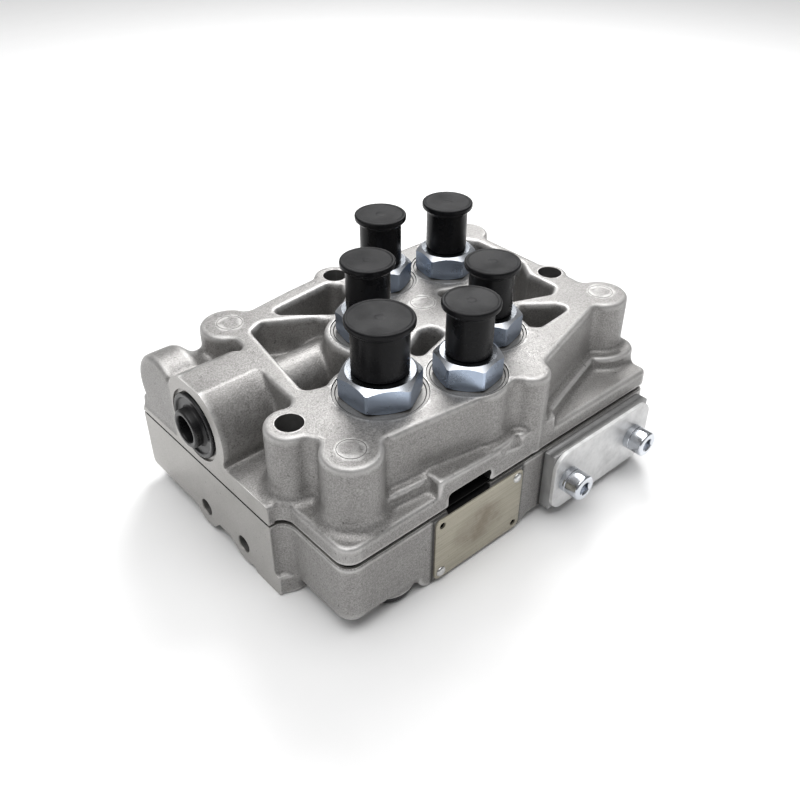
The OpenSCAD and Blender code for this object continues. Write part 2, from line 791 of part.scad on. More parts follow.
module screw_collars() {
    seat = -bracket_block_t - bracket_plate_t;
    color(steel_colour) datum() for (k = [0 : 1]) difference() {
        rod_y(bracket_screw_x + k * bracket_pitch, bracket_mid, bracket_head_r, seat - collar_t, seat);
        rod_y(bracket_screw_x + k * bracket_pitch, bracket_mid, bracket_screw_d / 2 + 0.2, seat - far / 8, 1);
    }
}

// Socket screw along z: head above height 0 and shank below it
module socket_screw(r, head_r, head_h, len) {
    difference() {
        union() {
            cylinder(r = head_r, h = head_h - 0.8);
            translate([0, 0, head_h - 0.8]) cylinder(r1 = head_r, r2 = head_r - 0.8, h = 0.8);
            translate([0, 0, -len]) cylinder(r = r, h = len);
        }
        translate([0, 0, head_h * 0.5]) cylinder(r = r * 0.86, h = head_h, $fn = 6);
    }
}

module housing_screws() {
    seat = -lower_h + screw_sink;
    color(steel_colour) datum() for (s = screw_places)
        translate([s.x, s.y, seat]) mirror([0, 0, 1])
            socket_screw(screw_d / 2, screw_head_r, screw_head_h, screw_bite - seat - 0.3);
}

upper_housing();
lower_housing();
separator_plate();
upper_gasket();
lower_gasket();
port_adapter(1);  // port_adapter_1
port_adapter(2);  // port_adapter_2
port_adapter(3);  // port_adapter_3
port_adapter(4);  // port_adapter_4
port_adapter(5);  // port_adapter_5
port_adapter(6);  // port_adapter_6
port_seals();
port_cap(1);  // port_cap_1
port_cap(2);  // port_cap_2
port_cap(3);  // port_cap_3
port_cap(4);  // port_cap_4
port_cap(5);  // port_cap_5
port_cap(6);  // port_cap_6
side_port_plug();
lower_plug(1);  // lower_plug_1
lower_plug(2);  // lower_plug_2
lower_plug(3);  // lower_plug_3
lower_plug(4);  // lower_plug_4
channel_plugs();
shuttle_seats();
shuttle_ball(1);  // shuttle_ball_1
shuttle_ball(2);  // shuttle_ball_2
signal_spool();
spool_spring();
spool_retaining_ring();
nameplate();
nameplate_rivets();
bracket_block();
bracket_plate();
bracket_screws();
screw_collars();
housing_screws();
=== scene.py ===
import json
import math
import bpy
import numpy as np
import openvdb
from mathutils import Matrix


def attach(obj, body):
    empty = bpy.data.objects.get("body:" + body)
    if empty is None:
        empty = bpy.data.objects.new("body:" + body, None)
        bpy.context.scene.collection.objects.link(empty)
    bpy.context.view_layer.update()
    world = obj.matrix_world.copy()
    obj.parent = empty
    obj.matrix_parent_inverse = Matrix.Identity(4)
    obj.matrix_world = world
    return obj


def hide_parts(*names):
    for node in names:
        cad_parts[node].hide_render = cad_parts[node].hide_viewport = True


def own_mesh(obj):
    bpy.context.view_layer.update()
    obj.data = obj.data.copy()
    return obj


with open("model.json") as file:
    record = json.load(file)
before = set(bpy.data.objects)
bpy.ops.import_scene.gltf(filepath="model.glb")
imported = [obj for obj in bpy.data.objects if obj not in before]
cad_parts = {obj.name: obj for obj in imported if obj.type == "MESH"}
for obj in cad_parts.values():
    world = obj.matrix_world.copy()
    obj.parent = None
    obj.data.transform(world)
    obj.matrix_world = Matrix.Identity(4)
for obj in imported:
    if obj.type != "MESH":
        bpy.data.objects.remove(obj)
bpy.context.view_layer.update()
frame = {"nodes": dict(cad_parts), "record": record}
print("frame loaded with", len(frame["nodes"]), "nodes")

# Block coordinates are millimetres: x from the machined face, y from the front face, z from the parting plane.
# The scene's origin is on the first mounting hole, at the level of the feet.
blockOrigin = np.array([17.5, 46.7, -39.8])


def toScene(points):
    # (block point - origin) / 1000
    return (np.asarray(points, float) - blockOrigin) / 1000.0


# Meshes

noTriangles = np.zeros((0, 3), int)
axisOrder = {"z": (0, 1, 2), "x": (2, 0, 1), "y": (1, 2, 0)}  # columns that turn a shape made about z


def meshFromArrays(name, points, quads, triangles=None, sharpAngle=40.0):
    # Whole arrays of corners and faces go into the mesh at once, quads first and triangles after them
    triangles = noTriangles if triangles is None else np.asarray(triangles, int)
    quads = np.asarray(quads, int).reshape(-1, 4)
    mesh = bpy.data.meshes.new(name)
    mesh.vertices.add(len(points))
    mesh.vertices.foreach_set("co", np.asarray(points, np.float32).ravel())
    corners = np.concatenate([quads.ravel(), triangles.ravel()]).astype(np.int32)
    starts = np.concatenate([np.arange(len(quads)) * 4, len(quads) * 4 + np.arange(len(triangles)) * 3])
    mesh.loops.add(len(corners))
    mesh.loops.foreach_set("vertex_index", corners)
    mesh.polygons.add(len(starts))
    mesh.polygons.foreach_set("loop_start", starts.astype(np.int32))
    mesh.update(calc_edges=True)
    mesh.validate()
    shadeByAngle(mesh, sharpAngle)
    piece = bpy.data.objects.new(name, mesh)
    bpy.context.scene.collection.objects.link(piece)
    return piece


def shadeByAngle(mesh, sharpAngle):
    mesh.polygons.foreach_set("use_smooth", np.ones(len(mesh.polygons), bool))
    mesh.set_sharp_from_angle(angle=math.radians(sharpAngle))
    mesh.update()


def softened(profile, radius, steps=4):
    # Each inner corner of the outline becomes a curve: (1-t)^2 start + 2t(1-t) corner + t^2 end
    profile = np.asarray(profile, float)
    rows = [profile[:1]]
    t = np.linspace(0, 1, steps + 1)[:, None]
    for before, corner, after in zip(profile[:-2], profile[1:-1], profile[2:]):
        cutIn = min(radius, 0.45 * np.linalg.norm(before - corner))
        cutOut = min(radius, 0.45 * np.linalg.norm(after - corner))
        start = corner + (before - corner) / max(np.linalg.norm(before - corner), 1e-9) * cutIn
        end = corner + (after - corner) / max(np.linalg.norm(after - corner), 1e-9) * cutOut
        rows.append((1 - t) ** 2 * start + 2 * t * (1 - t) * corner + t ** 2 * end)
    rows.append(profile[-1:])
    return np.concatenate(rows)


def gridQuads(rows, columns, closed=False):
    # Corners k * columns + j of each cell; columns go round, and rows too where the grid is closed
    k, j = np.meshgrid(np.arange(rows if closed else rows - 1), np.arange(columns), indexing="ij")
    nextK, nextJ = (k + 1) % rows, (j + 1) % columns
    quads = [k * columns + j, k * columns + nextJ, nextK * columns + nextJ, nextK * columns + j]
    return np.stack(quads, -1).reshape(-1, 4)


def endFans(rows, columns):
    # Triangles that join the first and the last row to the two points after the grid's own
    j = np.arange(columns)
    nextJ, last = (j + 1) % columns, (rows - 1) * columns
    first = np.stack([np.full(columns, rows * columns), nextJ, j], -1)
    return np.concatenate([first, np.stack([np.full(columns, rows * columns + 1), last + j, last + nextJ], -1)])


def turnedArrays(profile, foot, axis="z", segments=96):
    # Point = foot + radius * (cos angle, sin angle) across the axis + height along the axis;
    # the profile's first and last point lie on the axis and close the piece
    profile = np.asarray(profile, float)
    angle = np.arange(segments) / segments * 2 * math.pi
    radius = profile[1:-1, :1] * np.ones((1, segments))
    height = profile[1:-1, 1:2] * np.ones((1, segments))
    local = np.stack([radius * np.cos(angle), radius * np.sin(angle), height], axis=-1).reshape(-1, 3)
    local = np.concatenate([local, [[0, 0, profile[0, 1]], [0, 0, profile[-1, 1]]]])
    rows = len(profile) - 2
    return (local[:, axisOrder[axis]] + np.asarray(foot, float), gridQuads(rows, segments), endFans(rows, segments))


def loopArrays(profile, foot, axis="z", segments=96, shape=None, turn=0.0):
    # A closed outline carried round the axis: foot + radius * (cos(angle + turn), sin(angle + turn)) + height,
    # where shape may give both radius and height from the outline's own and the angle
    profile = np.asarray(profile, float)
    angle = np.arange(segments) / segments * 2 * math.pi + turn
    radius = profile[:, :1] * np.ones((1, segments))
    height = profile[:, 1:2] * np.ones((1, segments))
    if shape is not None:
        radius, height = shape(radius, height, angle[None, :] * np.ones_like(radius))
    local = np.stack([radius * np.cos(angle), radius * np.sin(angle), height], axis=-1).reshape(-1, 3)
    quads = gridQuads(len(profile), segments, closed=True)
    return local[:, axisOrder[axis]] + np.asarray(foot, float), quads, noTriangles


def roundedOutline(low, high, radius, perCorner=10):
    # Corner centres + radius * (cos, sin), counter-clockwise from the lower right corner, with outward normals
    low, high = np.asarray(low, float), np.asarray(high, float)
    centres = np.array([[high[0], low[1]], high, [low[0], high[1]], low]) + radius * np.array(
        [[-1, 1], [-1, -1], [1, -1], [1, 1]])
    angle = (np.arange(4)[:, None] - 1) * math.pi / 2 + np.linspace(0, math.pi / 2, perCorner + 1)[None]
    normals = np.stack([np.cos(angle), np.sin(angle)], -1)
    return (centres[:, None] + radius * normals).reshape(-1, 2), normals.reshape(-1, 2)


def plateArrays(outline, normals, levels, face):
    # Point = centre + (outline - inset * normal - centre) * scale, at each level's height out of the front face
    centre = (outline.min(0) + outline.max(0)) / 2
    levels = np.asarray(levels, float)
    inset, out, scale = levels[1:-1, 0, None, None], levels[1:-1, 1, None], levels[1:-1, 2, None, None]
    ring = (outline[None] - inset * normals[None] - centre) * scale + centre
    count, rows = len(outline), len(levels) - 2
    points = np.stack([ring[..., 0], face - out * np.ones((1, count)), ring[..., 1]], -1).reshape(-1, 3)
    ends = [[centre[0], face - levels[k, 1], centre[1]] for k in (0, -1)]
    return np.concatenate([points, ends]), gridQuads(rows, count), endFans(rows, count)


def joined(parts):
    # Several closed shells in one set of arrays, with corner numbers moved up shell by shell
    points, quads, triangles, count = [], [], [], 0
    for p, q, t in parts:
        points.append(p)
        quads.append(np.asarray(q) + count)
        triangles.append(np.asarray(t) + count)
        count += len(p)
    return np.concatenate(points), np.concatenate(quads), np.concatenate(triangles)


def slabArrays(low, high):
    # The eight corners of a slab, low + (high - low) * (0 or 1)
    i = np.array([[0, 0, 0], [1, 0, 0], [1, 1, 0], [0, 1, 0], [0, 0, 1], [1, 0, 1], [1, 1, 1], [0, 1, 1]])
    points = np.asarray(low, float) + i * (np.asarray(high, float) - np.asarray(low, float))
    quads = np.array([[0, 3, 2, 1], [4, 5, 6, 7], [0, 1, 5, 4], [1, 2, 6, 5], [2, 3, 7, 6], [3, 0, 4, 7]])
    return points, quads, noTriangles


def cutPiece(piece, parts):
    # Takes closed shells out of a closed piece
    points, quads, triangles = joined(parts)
    cutter = meshFromArrays("cutter", toScene(points), quads, triangles)
    modifier = piece.modifiers.new("cut", "BOOLEAN")
    modifier.operation = "DIFFERENCE"
    modifier.solver = "MANIFOLD"
    modifier.object = cutter
    applyModifiers(piece)
    bpy.data.objects.remove(cutter)


def applyModifiers(piece):
    depsgraph = bpy.context.evaluated_depsgraph_get()
    depsgraph.update()
    mesh = bpy.data.meshes.new_from_object(piece.evaluated_get(depsgraph))
    piece.modifiers.clear()
    piece.data = mesh


def faceCentres(mesh):
    # Centre of each face in block millimetres
    centre = np.empty(len(mesh.polygons) * 3, np.float32)
    mesh.polygons.foreach_get("center", centre)
    return centre.reshape(-1, 3) * 1000 + blockOrigin


def fromAxis(centre, axis, place):
    # Distance of each face from a line along one axis: the root of the sum of two squares
    a, b = {"x": (1, 2), "y": (0, 2), "z": (0, 1)}[axis]
    return np.hypot(centre[:, a] - place[0], centre[:, b] - place[1])


# Castings

castLook = {
    "cell": 0.6,          # grid step in mm
    "quickCell": 1.0,
    "band": 7.0,          # how far from the surface distances are kept, in mm
    "edgeSpread": 0.75,   # bell curve for the outer edges, in mm
    "filletSpread": 1.5,  # bell curve for the fillets, in mm
    "mostTriangles": 158000,  # before the holes are cut
    "humpStart": 112.0, "humpFull": 118.0, "humpRadius": 3.0,  # round end of the left face
    "upperDraw": 1.1, "lowerDraw": 0.7,  # how far the walls draw in at the joint
    "drawHeight": 1.4,    # height of that band, in times its depth
    "sharpAngle": 34.0,
}

portPlaces = [(59.2, 39.3), (96.2, 24.8), (127.4, 42.6), (86.7, 80.0), (156.4, 101.4), (121.8, 112.4)]
portSizes = {
    "flats": [32.0] + [27.0] * 5, "thread": [20.96] + [16.66] * 5, "spotRim": 2.5, "spotDepth": 0.8,
    "turn": [31, 11, 15, 18, 20, 25], "deck": 43.4, "hexHeight": 12.0, "stub": 19.0, "stud": 12.0,
}
holePlaces = [(17.5, 46.7), (192.6, 61.2), (107.0, 131.5)]
ejectorPlaces = [(41.1, 127.5), (25.8, 17.5), (196.1, 31.3), (122.2, 81.6)]
sidePort = {"y": 96.0, "z": 21.8, "spot": 17.5, "thread": 13.2, "bore": 8.0}
lowPorts = [(39.2, 15.2), (152, 22), (62, 122), (158, 118)]
screwPlaces = [(16, 12), (119.3, 9), (194, 14), (198, 138), (80, 140.5), (12, 138)]
channelPlaces = [(97.3, -27.9), (65.9, -28.4)]
windowBox = {"low": (63.4, 0.5, -3.8), "high": (89.2, 13.4, 8.4)}
rivetPlaces = [(106.2, -6.2), (59.3, -34.2)]
signCorners = [(x, z) for x in (59.3, 106.2) for z in (-34.2, -6.2)]
bracketPlaces = {"x": (135.3, 184.4), "z": -18.5}
boreSizes = {  # radii, and the levels and depths where they change
    "bolt": 6.0, "boltMouth": 6.5, "threadDeep": 14.0, "sealDeep": 2.1, "sealWide": 2.3,
    "lowFlange": 14.2, "lowThread": 10.55, "lowDrilling": 5.25, "portFace": -35.8, "threadEnd": -19.8,
    "screwHead": 5.38, "screwShank": 3.3, "screwSeat": -25.6,
    "channelMouth": 4.8, "channel": 4.3, "drilling": 2.1, "channelEnd": 48.2,
    "bracketScrew": 4.05, "rivet": 1.55, "ring": (5.75, 6.15), "ringDeep": 0.16,
}
shadeSizes = {  # radii of the dark parts
    "grooves": ((1.68, 0.28), (0.175, 0.2)),  # how far inside the spot face's rim, and half the width
    "rivet": 1.6, "bolt": 6.08, "channel": 4.6,
}


def bell(field, spread):
    # Weighted mean along each axis in turn, with weights exp(-k^2 / 2 spread^2)
    reach = int(math.ceil(2.6 * spread))
    k = np.arange(-reach, reach + 1)
    weight = np.exp(-k * k / (2 * spread * spread))
    weight = (weight / weight.sum()).astype(np.float32)
    for axis in range(3):
        padding = [(reach, reach) if a == axis else (0, 0) for a in range(3)]
        padded = np.pad(field, padding, mode="edge")
        size = field.shape[axis]
        total = np.zeros_like(field)
        for i, w in enumerate(weight):
            part = [slice(None)] * 3
            part[axis] = slice(i, i + size)
            total += w * padded[tuple(part)]
        field = total
    return field


def rodField(x, y, z, axis, centre, radius, low, high):
    # The larger of distance to the axis less radius, and distance along it beyond the rod's ends
    across = {"x": (y, z), "y": (x, z), "z": (x, y)}[axis]
    along = {"x": x, "y": y, "z": z}[axis]
    out = np.sqrt((across[0] - centre[0]) ** 2 + (across[1] - centre[1]) ** 2) - radius
    return np.maximum(out, np.maximum(low - along, along - high))


def stepUp(value, low, high):
    # 0 below low, 1 above high, 3t^2 - 2t^3 between
    t = np.clip((value - low) / (high - low), 0, 1)
    return t * t * (3 - 2 * t)


def castSkin(name, node, fills, keepLow, keepHigh, joint, draw, humpRadius=0.0):
    # Distance to the solid on a grid. Machined holes are filled with rods and the machined sides are carried on
    # past their plane. Two bell curves soften the field and the smaller value is kept: the narrow curve rounds
    # the outer edges, and the wide one fills the inner corners. At the joint the walls draw in a little, and
    # behind the side port the left face meets the hump in a round edge:
    # min(-r, max(a, b)) + |(max(r + a, 0), max(r + b, 0))|
    cell = castLook["cell"]
    source = frame["nodes"][node].data
    source.calc_loop_triangles()
    points = np.empty(len(source.vertices) * 3, np.float32)
    source.vertices.foreach_get("co", points)
    corners = np.empty(len(source.loop_triangles) * 3, np.int32)
    source.loop_triangles.foreach_get("vertices", corners)
    step = openvdb.createLinearTransform(voxelSize=cell / 1000)
    band = int(castLook["band"] / cell) + 1
    corners = corners.reshape(-1, 3).astype(np.uint32)
    grid = openvdb.FloatGrid.createLevelSetFromPolygons(
        points=points.reshape(-1, 3), triangles=corners, transform=step, halfWidth=band)
    low, high = grid.evalActiveVoxelBoundingBox()
    low = np.array(low) - 2
    field = np.full(np.array(high) - low + 3, grid.background, np.float32)
    grid.copyToArray(field, ijk=tuple(int(v) for v in low))
    field *= 1000
    axes = [((low[a] + np.arange(field.shape[a])) * cell + blockOrigin[a]).astype(np.float32) for a in range(3)]
    x, y, z = axes[0][:, None, None], axes[1][None, :, None], axes[2][None, None, :]
    for fill in fills:
        field = np.minimum(field, rodField(x, y, z, *fill))
    for a in range(3):
        if keepLow[a] is not None:
            first = int(np.searchsorted(axes[a], keepLow[a] + 0.9))
            field = np.concatenate([np.repeat(field.take([first], axis=a), first, axis=a),
                                    field.take(range(first, field.shape[a]), axis=a)], axis=a)
        if keepHigh[a] is not None:
            last = int(np.searchsorted(axes[a], keepHigh[a] - 0.9)) - 1
            more = field.shape[a] - 1 - last
            field = np.concatenate([field.take(range(last + 1), axis=a),
                                    np.repeat(field.take([last], axis=a), more, axis=a)], axis=a)
    narrow = bell(field, castLook["edgeSpread"] / cell)
    wide = bell(field, castLook["filletSpread"] / cell)
    field = np.minimum(narrow, wide)
    drawBand = np.clip(1 - np.abs(z - joint) / (castLook["drawHeight"] * draw), 0, 1)
    field = field + draw * drawBand * stepUp(x, 2.0, 4.0)
    if humpRadius:
        r = humpRadius * stepUp(y, castLook["humpStart"], castLook["humpFull"]) * stepUp(z, 1.0, 6.0)
        rounded = np.minimum(-r, np.maximum(field, -x)) + np.hypot(np.maximum(r + field, 0), np.maximum(r - x, 0))
        field = np.where(r > 0.05, rounded, field).astype(np.float32)
    for a in range(3):  # close the field at the grid's own border
        border = [slice(None)] * 3
        for end in (0, -1):
            border[a] = end
            field[tuple(border)] = np.maximum(field[tuple(border)], 1.0)
    soft = openvdb.FloatGrid(castLook["band"])
    soft.transform = step
    soft.copyFromArray(np.ascontiguousarray(field, np.float32), ijk=tuple(int(v) for v in low))
    soft.gridClass = openvdb.GridClass.LEVEL_SET
    surface, triangles, quads = soft.convertToPolygons(isovalue=0.0, adaptivity=0.0)
    piece = meshFromArrays(name, surface, quads[:, ::-1], triangles[:, ::-1] if len(triangles) else None)
    modifier = piece.modifiers.new("fewer", "DECIMATE")
    modifier.ratio = min(1.0, castLook["mostTriangles"] / (2.0 * len(quads) + len(triangles)))
    applyModifiers(piece)
    print(name, "from", len(quads), "cells to", len(piece.data.polygons), "faces")
    return piece


def finishCasting(piece, node, machinedPart):
    # Cast skin, machined faces, bores painted dark as shade, and painted shade on the inside of the front window, the
    # grooves and the rivet holes
    mesh = piece.data
    centre = faceCentres(mesh)
    mesh.materials.clear()
    for label in ("cast", "machined", "paintedCavityShade", "bore", "spotFace"):
        mesh.materials.append(materials[label])
    low, high = np.array(windowBox["low"]), np.array(windowBox["high"])
    # Painted shade: faces inside the front window, the grooves round each spot face and the rivet holes take the
    # near-black material
    dark = np.all((centre > low) & (centre < high), axis=1)
    for i, place in enumerate(portPlaces):
        away = fromAxis(centre, "z", place) - spotRadius(i)
        for inside, half in shadeSizes["grooves"]:
            dark |= (np.abs(away + inside) < half) & (centre[:, 2] < 43.2) & (centre[:, 2] > 41.5)
    for place in signCorners:
        dark |= (fromAxis(centre, "y", place) < shadeSizes["rivet"]) & (centre[:, 1] > 0.05) & (centre[:, 1] < 4.6)
    # Painted shade: bolt holes and channels take a dark material for the shade deep inside them
    bore = np.zeros(len(centre), bool)
    for place in holePlaces:
        bore |= (fromAxis(centre, "z", place) < shadeSizes["bolt"]) & (centre[:, 2] < 42.9) & (centre[:, 2] > -39.3)
    for place in channelPlaces:
        bore |= (fromAxis(centre, "x", place) < shadeSizes["channel"]) & (centre[:, 0] > 0.4) & (centre[:, 0] < 60)
    machined = machinedPart(centre)
    spotFace = machined & (centre[:, 2] > 41.0) & (centre[:, 2] < 43.2)
    finish = np.where(dark, 2, np.where(bore, 3, np.where(spotFace, 4, machined)))
    mesh.polygons.foreach_set("material_index", finish.astype(np.int32))
    shadeByAngle(mesh, castLook["sharpAngle"])
    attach(piece, "housing")
    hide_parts(node)


def spotRadius(i):
    # Radius of the hexagon's corners, flats / sqrt 3, and a rim
    return portSizes["flats"][i] / math.sqrt(3) + portSizes["spotRim"]


def upperFills():
    # Axis, place, radius and ends of a rod for each hole, a little wider than the hole is cut later
    deck = portSizes["deck"]
    fills = [("z", portPlaces[i], spotRadius(i) + 0.5, 26.0, deck) for i in range(6)]
    fills += [("z", portPlaces[i], portSizes["thread"][i] / 2 + 1.5, 0.0, deck) for i in range(6)]
    fills += [("z", h, 6.5, -8.0, deck) for h in holePlaces]
    fills += [("z", e, 6.6, 38.0, deck) for e in ejectorPlaces]
    fills += [("z", s, 4.0, -8.0, 10.4) for s in screwPlaces]
    fills.append(("x", (sidePort["y"], sidePort["z"]), sidePort["spot"] + 0.5, -8.0, 24.0))
    fills.append(("x", (sidePort["y"], sidePort["z"]), sidePort["bore"] + 2.0, 20.0, 144.0))
    return fills


def turnedRings(first, last, height, deep, pitch=0.5):
    # Points across a turned face, height - deep * (0, 1, 0, 1, ...), half a pitch apart
    r = np.arange(first, last, pitch / 2)
    return [[a, height - deep * (k % 2)] for k, a in enumerate(r)]


def upperCuts():
    # Port threads with seal seats, spot faces and grooves; bolt holes; ejector rings; the side port and main bore
    deck, spot = portSizes["deck"], portSizes["deck"] - portSizes["spotDepth"]
    end, seal, wide = spot - boreSizes["threadDeep"], spot - boreSizes["sealDeep"], boreSizes["sealWide"]
    rods = []
    for i, place in enumerate(portPlaces):
        r, rim = portSizes["thread"][i] / 2 + 0.05, spotRadius(i)
        rods.append(turnedArrays(
            [[0, 20], [r / 2, 20], [r / 2, end], [r, end], [r, seal], [r + wide, seal], [r + wide, spot],
             *turnedRings(r + wide + 0.3, rim - 2.2, spot, 0.012), [rim - 1.9, spot], [rim - 1.9, spot - 0.35],
             [rim - 1.45, spot - 0.35], [rim - 1.45, spot + 0.3], [rim - 0.35, spot + 0.35],
             [rim - 0.35, spot - 0.05], [rim, spot - 0.05], [rim, deck + 2], [0, deck + 2]], (*place, 0)))
    bolt, mouth = boreSizes["bolt"], boreSizes["boltMouth"]
    rods += [turnedArrays([[0, -2], [bolt, -2], [bolt, deck - 0.5], [mouth, deck + 2], [0, deck + 2]], (*h, 0))
             for h in holePlaces]
    (inner, outer), bottom = boreSizes["ring"], deck - boreSizes["ringDeep"]
    rings = [loopArrays([[inner, bottom], [outer, bottom], [outer, deck + 1], [inner, deck + 1]], (*e, 0))
             for e in ejectorPlaces]
    flat, thread, bore = sidePort["spot"], sidePort["thread"], sidePort["bore"]
    side = [turnedArrays([[0, -2], [flat, -2], [flat, 1.2], [thread + 0.6, 1.2], [thread, 1.9], [thread, 20],
                          [bore, 20], [bore, 142], [0, 142]], (0, sidePort["y"], sidePort["z"]), axis="x")]
    return rods, rings, side


def lowerFills():
    # As for the upper casting: bolt holes, lower ports, screws, channels, bracket screws and rivets
    fills = [("z", h, 6.5, -39.8, 8.0) for h in holePlaces]
    fills += [("z", p, 14.6, boreSizes["portFace"], -25.0) for p in lowPorts]
    fills += [("z", p, 11.5, boreSizes["portFace"], -17.0) for p in lowPorts]
    fills += [("z", p, 6.5, boreSizes["portFace"], 8.0) for p in lowPorts]
    fills += [("z", s, 6.2, -32.6, -22.0) for s in screwPlaces]
    fills += [("z", s, 4.5, -32.6, 8.0) for s in screwPlaces]
    fills += [("x", c, 5.3, -8.0, 60.0) for c in channelPlaces]
    fills += [("y", (x, bracketPlaces["z"]), 5.2, 0.0, 20.0) for x in bracketPlaces["x"]]
    fills += [("y", r, 2.4, 0.0, 6.0) for r in signCorners]
    return fills


def lowerCuts():
    # Bolt holes, stepped lower ports and screw holes from below; channels from the left; screws and rivets in front
    k = boreSizes
    bolt, flange, thread, drilling = k["bolt"], k["lowFlange"], k["lowThread"], k["lowDrilling"]
    face, end, seat, stop = k["portFace"], k["threadEnd"], k["screwSeat"], k["channelEnd"]
    down = [turnedArrays([[0, -60], [bolt, -60], [bolt, 2], [0, 2]], (*h, 0)) for h in holePlaces]
    down += [turnedArrays([[0, -60], [flange, -60], [flange, face], [thread, face], [thread, end], [drilling, end],
                           [drilling, 2], [0, 2]], (*p, 0)) for p in lowPorts]
    down += [turnedArrays([[0, -60], [k["screwHead"], -60], [k["screwHead"], seat], [k["screwShank"], seat],
                           [k["screwShank"], 2], [0, 2]], (*s, 0)) for s in screwPlaces]
    side = [turnedArrays([[0, -2], [k["channelMouth"], -2], [k["channel"], 0.5], [k["channel"], stop],
                          [k["drilling"], stop], [k["drilling"], stop + 9.8], [0, stop + 9.8]], (0, *c), axis="x")
            for c in channelPlaces]
    front = [turnedArrays([[0, -2], [k["bracketScrew"], -2], [k["bracketScrew"], 17], [0, 17]],
                          (x, 0, bracketPlaces["z"]), axis="y", segments=48) for x in bracketPlaces["x"]]
    front += [turnedArrays([[0, -2], [k["rivet"], -2], [k["rivet"], 4.5], [0, 4.5]], (r[0], 0, r[1]), axis="y",
                           segments=32) for r in signCorners]
    return down, side, front


# Materials

def feed(tree, socket, value):
    # A number or a colour is set on the socket itself, and anything else is linked to it
    if isinstance(value, tuple):
        socket.default_value = (*value, 1.0)
    elif isinstance(value, (int, float)):
        socket.default_value = value
    else:
        tree.links.new(value, socket)


def newGroup(name, inputs, outputs):
    # A shader node group with named number inputs and outputs
    tree = bpy.data.node_groups.new(name, "ShaderNodeTree")
    for label, value in inputs.items():
        tree.interface.new_socket(label, in_out="INPUT", socket_type="NodeSocketFloat").default_value = value
    for label in outputs:
        tree.interface.new_socket(label, in_out="OUTPUT", socket_type="NodeSocketFloat")
    return tree, tree.nodes.new("NodeGroupInput").outputs, tree.nodes.new("NodeGroupOutput").inputs


def mathNode(tree, operation, a, b=None, clamp=False):
    node = tree.nodes.new("ShaderNodeMath")
    node.operation = operation
    node.use_clamp = clamp
    feed(tree, node.inputs[0], a)
    if b is not None:
        feed(tree, node.inputs[1], b)
    return node.outputs[0]


def rangeNode(tree, value, fromLow, fromHigh, toLow=0.0, toHigh=1.0):
    node = tree.nodes.new("ShaderNodeMapRange")
    limits = {"Value": value, "From Min": fromLow, "From Max": fromHigh, "To Min": toLow, "To Max": toHigh}
    for label, limit in limits.items():
        feed(tree, node.inputs[label], limit)
    return node.outputs[0]


def noiseNode(tree, vector, scale, detail=2.0, roughness=0.5):
    node = tree.nodes.new("ShaderNodeTexNoise")
    for label, value in {"Vector": vector, "Scale": scale, "Detail": detail, "Roughness": roughness}.items():
        feed(tree, node.inputs[label], value)
    return node.outputs["Fac"]


def objectCoordinates(tree):
    return tree.nodes.new("ShaderNodeTexCoord").outputs["Object"]


def splitVector(tree, vector):
    node = tree.nodes.new("ShaderNodeSeparateXYZ")
    tree.links.new(vector, node.inputs[0])
    return node.outputs


def mixColours(tree, factor, first, second):
    node = tree.nodes.new("ShaderNodeMix")
    node.data_type = "RGBA"
    for label, value in (("Factor", factor), ("A", first), ("B", second)):
        feed(tree, node.inputs[label], value)
    return node.outputs["Result"]


def layers(tree, colour, rows):
    # Each row's colour goes over the last, as strong as its mask times its share
    for mask, share, over in rows:
        colour = mixColours(tree, mathNode(tree, "MULTIPLY", mask, share), colour, over)
    return colour


def grainGroup():
    # Height and tone from a fine and a coarse noise: fine * (1 - mix) + coarse * mix; pits where a third noise is low
    tree, given, result = newGroup("grain", {"Fine": 900.0, "Coarse": 140.0, "Mix": 0.4, "Pit Scale": 260.0},
                                   ("Height", "Tone", "Pits"))
    place = objectCoordinates(tree)
    fine = noiseNode(tree, place, given["Fine"], 3.0, 0.65)
    coarse = noiseNode(tree, place, given["Coarse"], 4.0, 0.6)
    fineShare = mathNode(tree, "SUBTRACT", 1.0, given["Mix"])
    height = mathNode(tree, "ADD", mathNode(tree, "MULTIPLY", fine, fineShare),
                      mathNode(tree, "MULTIPLY", coarse, given["Mix"]))
    tree.links.new(height, result["Height"])
    tree.links.new(coarse, result["Tone"])
    tree.links.new(rangeNode(tree, noiseNode(tree, place, given["Pit Scale"], 1.0, 0.4), 0.27, 0.22), result["Pits"])
    return tree


def edgeGroup():
    # Masks of outer edges (worn, and painted lighter as a highlight) and of hollows (for painted shade) from how
    # sharply the surface turns; a noise breaks up the edges
    tree, given, result = newGroup("edgeWearAndPaintedHighlight", {"Start": 0.51, "Full": 0.6, "Break": 0.35}, ("Edges", "Painted Hollow Shade"))
    point = tree.nodes.new("ShaderNodeNewGeometry").outputs["Pointiness"]
    noise = noiseNode(tree, objectCoordinates(tree), 220.0, 3.0, 0.6)
    broken = mathNode(tree, "SUBTRACT", 1.0, mathNode(tree, "MULTIPLY", noise, given["Break"]))
    sharp = rangeNode(tree, point, given["Start"], given["Full"])
    tree.links.new(mathNode(tree, "MULTIPLY", sharp, broken, True), result["Edges"])
    tree.links.new(rangeNode(tree, point, 0.495, 0.42), result["Painted Hollow Shade"])
    return tree


def dustGroup():
    # Soft film where a slow noise is high, and specks where a fast one is
    tree, given, result = newGroup("dust", {"Film Scale": 30.0, "Speck Scale": 1100.0}, ("Film", "Specks"))
    place = objectCoordinates(tree)
    tree.links.new(rangeNode(tree, noiseNode(tree, place, given["Film Scale"], 5.0, 0.6), 0.42, 0.68), result["Film"])
    tree.links.new(rangeNode(tree, noiseNode(tree, place, given["Speck Scale"], 1.0, 0.3), 0.68, 0.74),
                   result["Specks"])
    return tree


